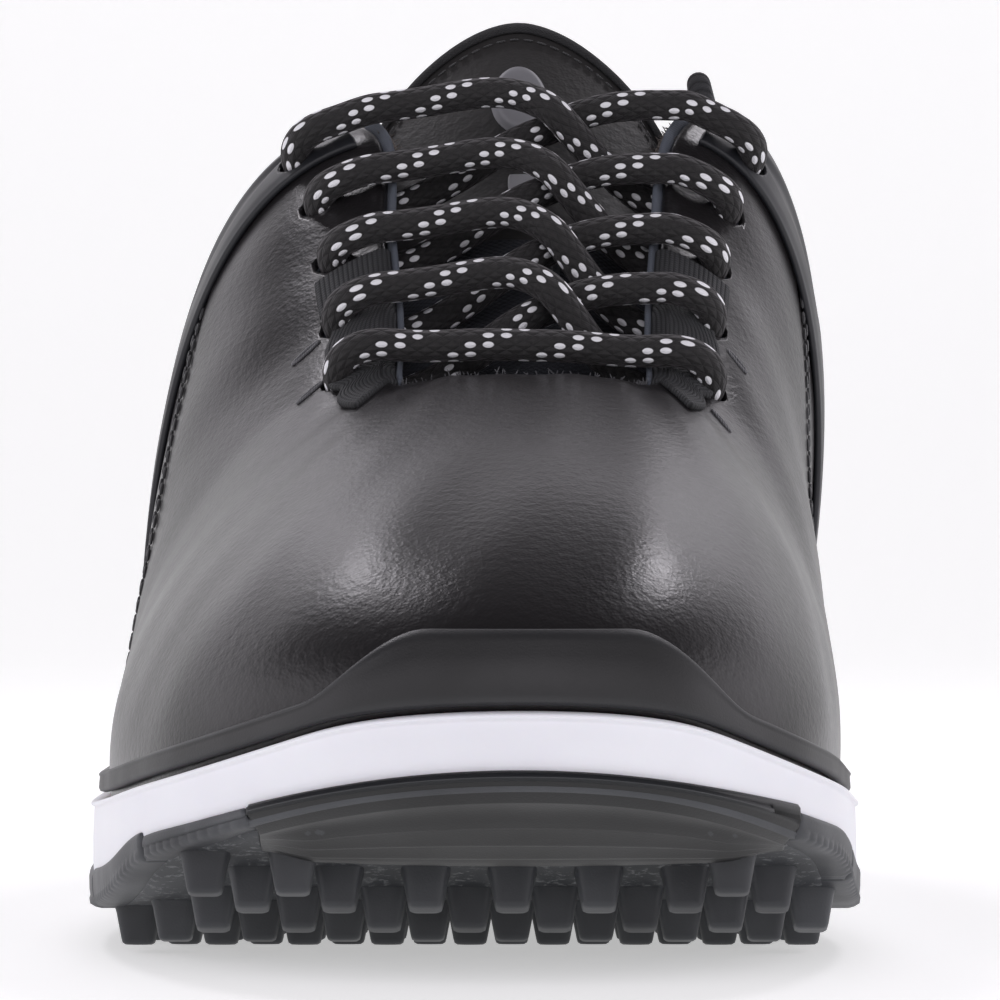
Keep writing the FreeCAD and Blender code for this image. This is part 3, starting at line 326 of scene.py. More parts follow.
def sheet(name, outer, inner, mat, body="shoe", closed=False, round_edge=1.0):
    """A thick sheet between two grids, its edges rounded; closed joins the first row to the last."""
    rows, columns = outer.shape[:2]
    count = rows * columns
    uv = grid_uv(outer).reshape(-1, 2)
    verts, uvs = [outer.reshape(-1, 3), inner.reshape(-1, 3)], [uv, uv]
    faces = grid_faces(rows, columns) + grid_faces(rows, columns, count, True)
    i, j = np.arange(rows), np.arange(columns)
    low, high = np.zeros(rows, int), np.full(rows, columns - 1)
    if closed:
        loops = [(i, low, i, low + 1), (i, high, i, high - 1)]
    else:
        first, last = np.zeros(columns, int), np.full(columns, rows - 1)
        ring_i = np.concatenate([i, last[1:], i[::-1][1:], first[1:]])
        ring_j = np.concatenate([low, j[1:], high[1:], j[::-1][1:]])
        loops = [(ring_i, ring_j, np.clip(ring_i, 1, rows - 2), np.clip(ring_j, 1, columns - 2))]
    total = 2 * count
    for at_i, at_j, in_i, in_j in loops:
        top, bottom, behind = outer[at_i, at_j], inner[at_i, at_j], outer[in_i, in_j]
        half = np.linalg.norm(top - bottom, axis=1, keepdims=True) / 2
        out = unit(top - behind)
        chain = [at_i * columns + at_j]
        for angle in (45, 90, 135):
            c, s = math.cos(math.radians(angle)), math.sin(math.radians(angle))
            verts.append(top * (1 + c) / 2 + bottom * (1 - c) / 2 + out * half * s * round_edge)
            uvs.append(uv[at_i * columns + at_j])
            chain.append(total + np.arange(len(at_i)))
            total += len(at_i)
        chain.append(chain[0] + count)
        for here, ahead in zip(chain, chain[1:]):
            faces += np.stack([here[:-1], here[1:], ahead[1:], ahead[:-1]], axis=1).tolist()
    return finish_mesh(name, np.vstack(verts), faces, np.vstack(uvs), mat, body, merge=True)


def loft(name, grid, mat, body="shoe", closed=False):
    """A solid through closed sections, one per row; closed joins the last section to the first."""
    grid = np.concatenate([grid, grid[:, :1]], axis=1)
    if closed:
        grid = np.concatenate([grid, grid[:1]], axis=0)
    rows, columns = grid.shape[:2]
    faces = grid_faces(rows, columns)
    if not closed:
        faces.append(list(range(columns - 1)))
        faces.append([(rows - 1) * columns + j for j in range(columns - 1)])
    return finish_mesh(name, grid.reshape(-1, 3), faces, grid_uv(grid).reshape(-1, 2), mat, body, merge=True)


def strand_frames(points):
    """Tangent, side and other unit vectors along a curve, without twist."""
    tangent = unit(np.gradient(points, axis=0))
    side, sides = np.array([0.0, 0.0, 1.0]), []
    for d in tangent:
        side = unit(side - d * side.dot(d))
        sides.append(side)
    sides = np.array(sides)
    return tangent, sides, np.cross(tangent, sides)


def strand(name, points, radius, mat, body="shoe", around=12):
    """A cord; its UV runs along it in mm and round it from 0 to 1."""
    points = np.asarray(points)
    _, side, other = strand_frames(points)
    angle = np.linspace(0, 2 * math.pi, around + 1)
    radius = np.broadcast_to(radius, (len(points),))[:, None, None]
    spoke = np.cos(angle)[None, :, None] * side[:, None] + np.sin(angle)[None, :, None] * other[:, None]
    grid = points[:, None] + spoke * radius
    uv = np.stack(np.broadcast_arrays(arc_length(points)[:, None], (angle / angle[-1])[None, :]), axis=2)
    faces = grid_faces(len(points), around + 1)
    faces.append(list(range(around)))
    faces.append([(len(points) - 1) * (around + 1) + j for j in range(around)])
    return finish_mesh(name, grid.reshape(-1, 3), faces, uv.reshape(-1, 2), mat, body, merge=True)


def copies(name, template, template_faces, places, mat, body="shoe"):
    """One mesh with the template at every place, a 4 x 4 matrix in mm."""
    verts, faces = [], []
    for k, m in enumerate(places):
        verts.append(template @ m[:3, :3].T + m[:3, 3])
        faces += [[index + k * len(template) for index in face] for face in template_faces]
    uvs = np.tile(template[:, :2], (len(places), 1))
    return finish_mesh(name, np.vstack(verts), faces, uvs, mat, body)


def bead(length, radius, around=8):
    """A stitch: a rounded bar along X, as vertices and faces."""
    rings = [(-0.5, 0.35), (-0.38, 0.85), (0.0, 1.0), (0.38, 0.85), (0.5, 0.35)]
    verts = [
        (length * x, radius * r * math.cos(2 * math.pi * k / around),
            radius * r * math.sin(2 * math.pi * k / around))
        for x, r in rings for k in range(around)
    ]
    faces = [
        [i * around + k, i * around + (k + 1) % around, (i + 1) * around + (k + 1) % around,
            (i + 1) * around + k]
        for i in range(len(rings) - 1) for k in range(around)
    ]
    faces += [list(range(around)), [(len(rings) - 1) * around + k for k in range(around)]]
    return np.array(verts), faces


def frame_matrix(centre, x_axis, z_axis):
    m = np.eye(4)
    y_axis = unit(np.cross(z_axis, x_axis))
    m[:3, 0], m[:3, 1], m[:3, 2], m[:3, 3] = x_axis, y_axis, np.cross(x_axis, y_axis), centre
    return m


def stitch_line(name, points, normals, mat, body="shoe", length=2.4, pitch=3.2, radius=0.3):
    """Stitches laid along a row of points."""
    along = arc_length(points)
    places = []
    for s in np.arange(pitch / 2, along[-1] - pitch / 2, pitch):
        spots = [np.array([np.interp(s + e, along, points[:, c]) for c in range(3)]) for e in (-0.8, 0.0,
                0.8)]
        up = unit(np.array([np.interp(s, along, normals[:, c]) for c in range(3)]))
        ahead = unit(spots[2] - spots[0])
        places.append(frame_matrix(spots[1] + up * radius * 0.35, ahead, up))
    return copies(name, *bead(length, radius), places, mat, body)


def boolean_cut(obj, cutter):
    """Cuts the cutter out of obj and applies the result."""
    cut = obj.modifiers.new("cut", "BOOLEAN")
    cut.operation, cut.solver, cut.object = "DIFFERENCE", "EXACT", cutter
    shown = obj.evaluated_get(bpy.context.evaluated_depsgraph_get())
    mesh = bpy.data.meshes.new_from_object(shown)
    obj.modifiers.remove(cut)
    obj.data = mesh


# ---- materials ----
class Nodes:
    """A principled material with helpers that add and link nodes."""

    def __init__(self, name, **values):
        self.mat = bpy.data.materials.new(name)
        self.mat.use_nodes = True
        self.tree = self.mat.node_tree
        self.shader = self.tree.nodes["Principled BSDF"]
        self.set(**values)

    def link(self, target, value):
        if isinstance(value, bpy.types.NodeSocket):
            self.tree.links.new(value, target)
        else:
            target.default_value = value

    def set(self, **values):
        for key, value in values.items():
            if key in ("base", "sheen_tint"):
                value = value if isinstance(value, bpy.types.NodeSocket) else (*value, 1.0)
            names = {"base": "Base Color", "rough": "Roughness", "specular": "Specular IOR Level",
                    "sheen": "Sheen Weight",
                     "sheen_rough": "Sheen Roughness", "sheen_tint": "Sheen Tint", "coat": "Coat Weight",
                     "coat_rough": "Coat Roughness", "normal": "Normal", "subsurface": "Subsurface Weight",
                     "metallic": "Metallic"}
            self.link(self.shader.inputs[names[key]], value)
        return self.mat

    def add(self, kind, inputs=(), out=0, **settings):
        node = self.tree.nodes.new("ShaderNode" + kind)
        for key, value in settings.items():
            setattr(node, key, value)
        for key, value in dict(inputs).items():
            self.link(node.inputs[key], value)
        return node.outputs[out]

    def spot(self, kind="Object"):
        return self.add("TexCoord", out=kind)

    def noise(self, scale, detail=2.0, vector=None, rough=0.5):
        return self.add("TexNoise", {"Vector": vector or self.spot(), "Scale": scale, "Detail": detail,
                "Roughness": rough})

    def cells(self, scale, vector=None, feature="F1", randomness=1.0):
        inputs = {"Vector": vector or self.spot(), "Scale": scale, "Randomness": randomness}
        return self.add("TexVoronoi", inputs, feature=feature, out="Distance")

    def math(self, operation, a, b=0.0, c=0.0):
        return self.add("Math", {0: a, 1: b, 2: c}, operation=operation)

    def mix(self, share, a, b):
        a, b = ((*x, 1.0) if isinstance(x, tuple) else x for x in (a, b))
        return self.add("Mix", {0: share, 6: a, 7: b}, data_type="RGBA", out=2)

    def span(self, value, low, high, to_low=0.0, to_high=1.0):
        return self.add("MapRange", {0: value, 1: low, 2: high, 3: to_low, 4: to_high})

    def bump(self, height, depth_mm, strength=1.0, normal=None):
        inputs = {"Height": height, "Strength": strength, "Distance": depth_mm * MM}
        if normal is not None:
            inputs["Normal"] = normal
        return self.add("Bump", inputs)

    def uv(self):
        split = self.tree.nodes.new("ShaderNodeSeparateXYZ")
        self.link(split.inputs[0], self.spot("UV"))
        return split.outputs[0], split.outputs[1]

    def ribs(self, value, pitch, sharp=1.0):
        """Rounded ridges: 0 in the grooves and 1 on the crests."""
        wave = self.math("ABSOLUTE", self.math("SINE", self.math("MULTIPLY", value, math.pi / pitch)))
        return self.math("POWER", wave, sharp)


def leather(name, dark=(0.0065, 0.006, 0.0066), light=(0.0125, 0.0112, 0.0122), rough=0.32, grain=1.25):
    n = Nodes(name)
    broad, fine = n.noise(22.0, 3.0), n.noise(2400.0, 3.0)
    pebble = n.cells(820.0, feature="SMOOTH_F1")
    pores = n.cells(1900.0)
    height = n.math("ADD", n.math("MULTIPLY", pebble, 0.7), n.math("MULTIPLY", pores, 0.35))
    bump = n.bump(n.math("ADD", height, n.math("MULTIPLY", fine, 0.25)), 0.10 * grain, 0.55)
    bump = n.bump(broad, 0.9, 0.10, bump)
    shade = n.math("ADD", n.math("MULTIPLY", broad, 0.7), n.math("MULTIPLY", pebble, 0.3))
    return n.set(
        base=n.mix(shade, dark, light), rough=n.span(shade, 0.2, 0.8, rough + 0.06, rough - 0.05),
        normal=bump, specular=0.4, sheen=0.03, sheen_rough=0.45, sheen_tint=(0.8, 0.76, 0.8),
    )


def rubber(name, dark=(0.012, 0.013, 0.015), light=(0.026, 0.028, 0.032), rough=0.5, speckle=0.0):
    n = Nodes(name)
    broad, fine = n.noise(60.0, 3.0), n.noise(3200.0, 2.0)
    base = n.mix(n.span(broad, 0.3, 0.7), dark, light)
    height = fine
    if speckle:
        flecks = n.span(n.noise(620.0, 4.0, rough=0.7), 0.54, 0.62)
        base = n.mix(n.math("MULTIPLY", flecks, speckle), base, (0.13, 0.135, 0.14))
        height = n.math("ADD", fine, n.math("MULTIPLY", flecks, 2.0))
    # Sharp convex edges, found by pointiness, are made a lighter grey.
    edge_pointiness = n.add("NewGeometry", out="Pointiness")
    edges = n.span(edge_pointiness, 0.51, 0.60, 0.0, 0.35)
    base = n.mix(edges, base, (0.075, 0.08, 0.088))
    return n.set(base=base, rough=n.span(broad, 0.3, 0.7, rough + 0.08, rough - 0.06),
            normal=n.bump(height, 0.06, 0.5))


def white_foam(name):
    n = Nodes(name)
    broad, fine = n.noise(35.0, 3.0), n.noise(1500.0, 3.0)
    base = n.mix(n.span(broad, 0.3, 0.7), (0.80, 0.79, 0.83), (0.86, 0.855, 0.885))
    pores = n.cells(1100.0)
    height = n.math("ADD", fine, n.math("MULTIPLY", pores, 0.5))
    return n.set(base=base, rough=0.5, specular=0.4, subsurface=0.05, normal=n.bump(height, 0.05, 0.35))


def plastic(name, colour, rough=0.5, grain=1200.0):
    n = Nodes(name)
    broad, fine = n.noise(80.0, 2.0), n.noise(grain, 3.0)
    base = n.mix(n.span(broad, 0.3, 0.7), tuple(0.85 * c for c in colour), tuple(1.12 * c for c in colour))
    return n.set(base=base, rough=n.span(broad, 0.3, 0.7, rough - 0.05, rough + 0.06),
            normal=n.bump(fine, 0.05, 0.35))


def woven(name, dark, light, along=0.8, across=0.8, depth=0.16, rough=0.85, sheen=0.3):
    """Cloth whose threads follow the UV grid, pitches in mm."""
    n = Nodes(name)
    u, v = n.uv()
    over = n.math("MULTIPLY", n.ribs(u, along, 0.7), n.ribs(v, across, 0.7))
    shift = n.math("MULTIPLY", n.ribs(n.math("ADD", u, along / 2), along, 0.7),
                   n.ribs(n.math("ADD", v, across / 2), across, 0.7))
    height = n.math("MAXIMUM", over, shift)
    fuzz = n.noise(2600.0, 3.0)
    uneven = n.noise(140.0, 3.0)
    shade = n.math("MULTIPLY", n.math("ADD", height, n.math("MULTIPLY", uneven, 0.6)), 0.65)
    bump = n.bump(n.math("ADD", height, n.math("MULTIPLY", fuzz, 0.35)), depth, 0.9)
    return n.set(base=n.mix(shade, dark, light), rough=rough, sheen=sheen, sheen_rough=0.5,
                 sheen_tint=light, normal=bump)


def ribbed(name, dark, light, pitch=0.9, depth=0.3, rough=0.8, sheen=0.3, lengthwise=True):
    """Tape or knit with ribs along one UV direction and fine threads across them."""
    n = Nodes(name)
    u, v = n.uv()
    if not lengthwise:
        u, v = v, u
    rib = n.ribs(v, pitch, 0.6)
    thread = n.ribs(n.math("ADD", u, n.math("MULTIPLY", n.math("FLOOR", n.math("DIVIDE", v, pitch)), 0.3)),
            0.6, 0.6)
    height = n.math("ADD", rib, n.math("MULTIPLY", thread, 0.35))
    fuzz = n.noise(2600.0, 3.0)
    shade = n.math("MULTIPLY", n.math("ADD", height, n.math("MULTIPLY", n.noise(120.0, 3.0), 0.5)), 0.6)
    bump = n.bump(n.math("ADD", height, n.math("MULTIPLY", fuzz, 0.3)), depth, 0.9)
    return n.set(base=n.mix(shade, dark, light), rough=rough, sheen=sheen, sheen_tint=light, normal=bump)


def fuzzy(name, dark, light):
    n = Nodes(name)
    broad, fine = n.noise(260.0, 4.0), n.noise(1800.0, 4.0, rough=0.7)
    return n.set(base=n.mix(n.span(n.math("MULTIPLY", n.math("ADD", broad, fine), 0.5), 0.35, 0.65), dark,
            light),
                 rough=0.95, sheen=0.5, sheen_tint=light, normal=n.bump(fine, 0.35, 0.9))


LACE_CELL = 2.7
LACE_STRANDS = 10


def lace_cord(name):
    """Braid with white flecks in pairs; the rows of flecks step round the cord."""
    n = Nodes(name)
    s, turn = n.uv()
    lengthways, round_it = n.math("DIVIDE", s, LACE_CELL), n.math("MULTIPLY", turn, LACE_STRANDS)
    p, q = n.math("ADD", lengthways, round_it), n.math("SUBTRACT", lengthways, round_it)
    p_cell, q_cell = n.math("FLOOR", p), n.math("FLOOR", q)
    p_off = n.math("ABSOLUTE", n.math("SUBTRACT", n.math("FRACT", p), 0.5))
    q_off = n.math("ABSOLUTE", n.math("SUBTRACT", n.math("FRACT", q), 0.5))
    edge_off = n.math("MAXIMUM", p_off, q_off)
    row = n.math("LESS_THAN", n.math("FLOORED_MODULO", p_cell, 5.0), 1.5)
    even = n.math("LESS_THAN", n.math("FLOORED_MODULO", n.math("ADD", p_cell, q_cell), 2.0), 0.5)
    radial = n.math("SQRT", n.math("ADD", n.math("MULTIPLY", p_off, p_off), n.math("MULTIPLY", q_off, q_off)))
    inside = n.span(radial, 0.40, 0.47, 1.0, 0.0)
    fleck = n.math("MULTIPLY", n.math("MULTIPLY", row, even), inside)
    cell = n.span(edge_off, 0.5, 0.1)
    yarn = n.ribs(p, 0.25, 0.8)
    fuzz = n.noise(2400.0, 3.0)
    shade = n.math("MULTIPLY", n.math("ADD", cell, n.math("MULTIPLY", fuzz, 0.8)), 0.55)
    base = n.mix(shade, (0.0045, 0.0042, 0.0045), (0.018, 0.0165, 0.017))
    base = n.mix(fleck, base, (0.80, 0.80, 0.83))
    height = n.math("ADD", cell, n.math("ADD", n.math("MULTIPLY", yarn, 0.12),
            n.math("MULTIPLY", fuzz, 0.25)))
    height = n.math("ADD", height, n.math("MULTIPLY", fleck, 0.4))
    return n.set(base=base, rough=0.78, sheen=0.25, sheen_tint=(0.35, 0.33, 0.35),
            normal=n.bump(height, 0.22, 0.9))


def thread(name, colour):
    n = Nodes(name)
    twist = n.add("TexWave", {"Vector": n.spot(), "Scale": 900.0, "Distortion": 1.5})
    return n.set(base=n.mix(twist, tuple(0.6 * c for c in colour), colour), rough=0.6, sheen=0.2,
                 normal=n.bump(twist, 0.08, 0.7))


BLACK_LEATHER = leather("leather_black")
RAND_RUBBER = rubber("rubber_rand", (0.006, 0.006, 0.0065), (0.011, 0.011, 0.012), rough=0.46)
OUTSOLE_RUBBER = rubber("rubber_outsole", (0.022, 0.0235, 0.027), (0.045, 0.048, 0.054), rough=0.5)
SPECKLED_RUBBER = rubber("rubber_speckled", (0.016, 0.018, 0.021), (0.034, 0.037, 0.042), rough=0.6,
        speckle=0.9)
# The toe wrap's own black rubber, darkened further with painted shade over the whole wrap.
BOW_RUBBER_WITH_PAINTED_SHADE = rubber("rubber_bow_with_painted_shade", (0.0035, 0.0038, 0.0042), (0.007, 0.0075, 0.0082), rough=0.36)
WHITE_FOAM = white_foam("foam_white")
SLATE_TPU = plastic("tpu_slate", (0.011, 0.012, 0.015), 0.46)
SLATE_FACING = woven("facing_slate", (0.035, 0.042, 0.055), (0.105, 0.118, 0.145), 0.55, 0.55, 0.10)
WEBBING_TAPE = ribbed("webbing_tape", (0.006, 0.0062, 0.007), (0.034, 0.035, 0.038), 0.85, 0.34)
LINING_TEXTILE = woven("lining_textile", (0.010, 0.010, 0.011), (0.045, 0.045, 0.048), 0.9, 0.9, 0.14)
COLLAR_TEXTILE = ribbed("collar_textile", (0.006, 0.006, 0.007), (0.040, 0.040, 0.044), 1.1, 0.35,
        lengthwise=False)
TONGUE_LEATHER = leather("leather_tongue", (0.014, 0.0135, 0.0135), (0.030, 0.028, 0.028), rough=0.5,
        grain=1.5)
TONGUE_KNIT = woven("knit_tongue", (0.003, 0.0035, 0.005), (0.022, 0.024, 0.032), 1.3, 1.0, 0.4, sheen=0.35)
BINDING_TAPE = woven("binding_tape", (0.004, 0.004, 0.0045), (0.020, 0.020, 0.022), 0.7, 0.5, 0.16)
KEEPER_TAPE = woven("keeper_tape", (0.012, 0.013, 0.016), (0.055, 0.060, 0.070), 0.6, 0.5, 0.14)
RAW_FOAM = fuzzy("foam_raw_edge", (0.035, 0.030, 0.028), (0.20, 0.175, 0.16))
RAW_CLOTH = fuzzy("cloth_raw_edge", (0.035, 0.036, 0.040), (0.16, 0.16, 0.17))
LACE_CORD = lace_cord("lace_cord")
BLACK_THREAD = thread("thread_black", (0.035, 0.035, 0.038))
GREY_THREAD = thread("thread_grey", (0.13, 0.13, 0.14))
INSOLE_CLOTH = woven("insole_cloth", (0.030, 0.031, 0.034), (0.10, 0.10, 0.108), 0.8, 0.8, 0.12)
INSOLE_FOAM = fuzzy("insole_foam", (0.05, 0.05, 0.055), (0.12, 0.12, 0.13))
PATCH_PRINT = plastic("patch_print", (0.30, 0.30, 0.32), 0.45)
PATCH_GROUND = plastic("patch_ground", (0.20, 0.20, 0.215), 0.5)
AGLET_FILM = plastic("aglet_film", (0.02, 0.02, 0.022), 0.2)
BOARD_FIBRE = fuzzy("board_fibre", (0.22, 0.20, 0.17), (0.42, 0.39, 0.34))
STIFFENER = plastic("stiffener", (0.06, 0.06, 0.065), 0.6)
SHANK_PLASTIC = plastic("shank_plastic", (0.03, 0.03, 0.033), 0.4)


def floor_finish():
    n = Nodes("floor_pale")
    glow = n.shader.inputs["Emission Color"], n.shader.inputs["Emission Strength"]
    glow[0].default_value, glow[1].default_value = (1.0, 1.0, 1.0, 1.0), FLOOR_GLOW
    return n.set(base=n.mix(n.noise(3.0), (0.795, 0.795, 0.795), (0.805, 0.805, 0.805)), rough=0.85,
            specular=0.1)


FLOOR_GLOW = 0.46
FLOOR = floor_finish()

CAD_FINISH = {
    "shank": SHANK_PLASTIC, "strobel_board": BOARD_FIBRE, "toe_puff": STIFFENER, "heel_counter": STIFFENER,
    "vamp_lining": LINING_TEXTILE, "quarter_lining": LINING_TEXTILE,
}


# ---- sole unit ----
def ring_section(a, section):
    """Points round the sole for a section of (inset, height) pairs, each a number or a row of values."""
    rows = []
    for inset, z in section:
        x, t = edge(a, inset)
        rows.append(np.stack(np.broadcast_arrays(x, t - LENGTH / 2, z), axis=-1))
    return np.stack(rows, axis=1)


def round_perimeter(count):
    return np.linspace(0, 1, count, endpoint=False)


def build_midsole():
    a = round_perimeter(420)
    t = EDGE(a)[:, 1]
    low, top = outsole_bottom(t) + OUTSOLE_PLATE - 0.8, midsole_top(t)
    tall = top - low
    section = [
        (9.0, low), (1.0, low), (0.35, low + 0.35), (0.05, low + 0.12 * tall), (-0.18, low + 0.35 * tall),
        (-0.20, low + 0.6 * tall), (-0.05, top - 1.4), (0.0, top - 1.0), (-0.42, top - 0.8),
            (-0.50, top - 0.55),
        (-0.42, top - 0.3), (0.05, top - 0.12), (0.8, top), (3.0, top + 0.05), (9.0, top),
    ]
    made = loft("midsole_foam", ring_section(a, section), WHITE_FOAM, closed=True)
    stands_for(made, "white_foam", "midsole")


# Blocks on the sidewall: first and last t, and the height above the underside at each.
REAR_PODS = ((114.0, 152.0, 5.0, 6.0), (154.0, 192.0, 5.0, 6.0), (194.0, 232.0, 5.0, 6.0),
        (234.0, 268.0, 5.0, 6.0))
MEDIAL_PODS = ((18.6, 43.0, 3.6, 4.6), (45.0, 78.0, 4.6, 6.0), (80.0, 112.0, 5.0, 6.0)) + REAR_PODS
LATERAL_PODS = ((13.1, 33.0, 2.6, 3.2), (35.0, 72.0, 4.0, 5.5), (74.0, 112.0, 5.0, 6.0)) + REAR_PODS
BOW_HALF = 36.0
BOW_TERRACES = 4.0
TOE_WRAP_ENDS = (12.5, 18.0)


def bow_edge(x):
    return 30.0 - 7.0 * ((x - TOE_CENTRE_X) / BOW_HALF) ** 2


def spine_grid(a, shares, inset, height):
    """Grid from the sole's edge to its middle line: height is a function of (x, t)."""
    x0, t0 = edge(a, inset)
    t1 = np.clip(t0, 40.0, 270.0)
    x1 = np.interp(t1, [40.0, 110.0, 180.0, 270.0], [5.0, 0.0, -1.0, 5.0])
    s = shares[None, :]
    x, t = x0[:, None] * (1 - s) + x1[:, None] * s, t0[:, None] * (1 - s) + t1[:, None] * s
    return np.stack([x, t - LENGTH / 2, height(x, t)], axis=2)


def pod_sheet(name, a0, a1, top, mat, count):
    """A block on the sidewall: its face, knurled lower edge and a turn under the plate."""
    a = np.linspace(a0, a1, count)
    x, t = EDGE(a).T
    base, high = outsole_bottom(t), top(x, t)
    knurl = 0.22 * np.abs(np.sin(np.arange(count) * (a1 - a0) / count * PERIMETER * math.pi / 2.2))
    section = [
        (3.5, base - 0.15), (0.9, base - 0.15), (0.1, base + 0.05), (-0.45 - knurl, base + 0.5),
        (-0.55 - knurl, base + 1.2), (-0.62, base + 1.6), (-0.75, (base + high) / 2), (-0.78, high - 0.9),
        (-0.70, high - 0.45),
    ]
    inner = [(3.5, base + 1.2), (1.4, base + 1.3)] + [(0.5,
            base + 1.5 + (high - base - 2.0) * k / 6) for k in range(7)]
    return sheet(name, ring_section(a, section), ring_section(a, inner), mat)


def rounded_square(half, corner, count=24):
    """Plan points of a square with rounded corners."""
    angle = np.linspace(0, 2 * math.pi, count, endpoint=False) + math.pi / count
    power = 2.0 / corner
    c, s = np.cos(angle), np.sin(angle)
    return np.stack([np.sign(c) * np.abs(c) ** power, np.sign(s) * np.abs(s) ** power], axis=1) * half


def lug_template():
    """A truncated pyramid with rounded corners and a bevelled tip, pointing down."""
    levels = [(3.55, 1.0), (3.45, 0.0), (3.2, -0.8), (2.45, -4.7), (2.3, -5.2), (1.9, -5.45), (1.0, -5.5)]
    verts = np.vstack([
        np.column_stack([rounded_square(half, 5.0), np.full(24, z)]) for half, z in levels
    ])
    faces = [
        [i * 24 + k, (i + 1) * 24 + k, (i + 1) * 24 + (k + 1) % 24, i * 24 + (k + 1) % 24]
        for i in range(len(levels) - 1) for k in range(24)
    ]
    faces += [list(range(24)), list(range(len(levels) * 24 - 24, len(levels) * 24))[::-1]]
    return verts, faces


def lug_places():
    places = []
    outline = np.stack(edge(round_perimeter(90), 5.2), axis=1)
    for r in range(27):
        t = 8.0 + 11.0 * r
        for c in range(-6, 7):
            x = 12.0 * c + 6.0 * (r % 2)
            near = np.roll(outline, -1, axis=0)
            spans = (outline[:, 1] > t) != (near[:, 1] > t)
            with np.errstate(divide="ignore", invalid="ignore"):
                crossing = outline[:, 0] + (near[:, 0] - outline[:, 0]) * (t - outline[:, 1]) / (near[:,
                        1] - outline[:, 1])
            if np.sum(spans & (x < crossing)) % 2 and t > bow_edge(x) + 3.2:
                slope = float(outsole_bottom(t + 0.5) - outsole_bottom(t - 0.5))
                ahead = unit(np.array([0.0, 1.0, slope]))
                up = np.array([0.0, -ahead[2], ahead[1]])
                m = np.eye(4)
                m[:3, 1], m[:3, 2], m[:3, 3] = ahead, up, (x, t - LENGTH / 2, outsole_bottom(t))
                places.append(m)
    return places


def build_outsole():
    a = round_perimeter(420)
    t = EDGE(a)[:, 1]
    base = outsole_bottom(t)
    section = [(7.0, base + 2.5), (0.35, base + 2.5), (0.0, base + 2.2), (-0.05, base + 0.6), (0.5, base),
            (7.0, base)]
    rim = loft("outsole_edge", ring_section(a, section), OUTSOLE_RUBBER, closed=True)
    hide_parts("outsole")
    closed_a = np.append(round_perimeter(260), 1.0)
    shares = np.linspace(0, 1, 18)
    under = spine_grid(closed_a, shares, 4.0, lambda x, t: outsole_bottom(t) + 0.05)
    over = spine_grid(closed_a, shares, 4.0, lambda x, t: outsole_bottom(t) + 1.8)
    sheet("outsole_floor", over, under, SPECKLED_RUBBER, closed=True)
    copies("outsole_lugs", *lug_template(), lug_places(), OUTSOLE_RUBBER)
    build_bow()
    rear = a_at(270.0, True), a_at(270.0, False) + 1.0
    pods = [pod_sheet("heel_wrap", *rear, lambda x, t: outsole_bottom(t) + 7.0, OUTSOLE_RUBBER, 140)]
    for side, spans in (("medial", MEDIAL_PODS), ("lateral", LATERAL_PODS)):
        for k, (t0, t1, low, high) in enumerate(spans):
            def top(x, t, t0=t0, t1=t1, low=low, high=high):
                return outsole_bottom(t) + low + (high - low) * (t - t0) / (t1 - t0)

            ends = a_at(t0, side == "medial"), a_at(t1, side == "medial")
            pods.append(pod_sheet(f"pod_{side}_{k + 1}", *sorted(ends), top, OUTSOLE_RUBBER, 90))


def build_bow():
    """The toe wrap: one skin from the sidewall round under the toe, with nested terraces to its rear edge."""
    a = np.linspace(a_at(TOE_WRAP_ENDS[0], False), a_at(TOE_WRAP_ENDS[1], True), 260)
    x, t = EDGE(a).T
    base = outsole_bottom(t)
    top = 30.1 - 5.1 * ((x - TOE_CENTRE_X) / BOW_HALF) ** 2
    side = [(0.3, top), (-0.35, top - 0.12), (-0.72, top - 0.6), (-0.85, (base + top) / 2),
            (-0.8, base + 2.6),
            (-0.5, base + 1.5), (0.1, base + 0.6), (0.9, base + 0.05)]
    face = ring_section(a, side)
    x0, t0 = edge(a, 1.9)
    back = np.maximum(bow_edge(x0), t0 + 2.0)
    q = np.linspace(0, 1, 90)[None, :]
    tt = t0[:, None] * (1 - q) + back[:, None] * q
    xx = np.broadcast_to(x0[:, None], tt.shape)
    phase = (1 - q) * BOW_TERRACES
    saw = phase - np.floor(phase)
    fade = smooth(1.0, 0.82, 1 - q) * smooth(1.0, 0.75, np.abs(xx - TOE_CENTRE_X) / BOW_HALF)
    drop = 0.25 + 0.35 * smooth(1.0, 0.9, q) + 1.7 * smooth(0.0, 0.14, saw) * (1 - saw) ** 1.6 * fade
    under = np.stack([xx, tt - LENGTH / 2, outsole_bottom(tt) - drop], axis=2)
    behind = ring_section(a, [(0.9, top - 0.7)] * 3 + [(0.9, (base + top) / 2)] + [(1.2, base + 2.8)] * 4)
    above = np.stack([xx, tt - LENGTH / 2, outsole_bottom(tt) + 1.0], axis=2)
    outer, inner = np.concatenate([face, under], axis=1), np.concatenate([behind, above], axis=1)
    made = sheet("toe_wrap", outer, inner, BOW_RUBBER_WITH_PAINTED_SHADE, round_edge=0.4)


CUSHION_INSET, COVER_INSET = 9.4, 9.6
# Heights above the footbed's seat.
CUSHION_TOP, COVER_LOW, COVER_TOP = 4.0, 4.08, 4.98


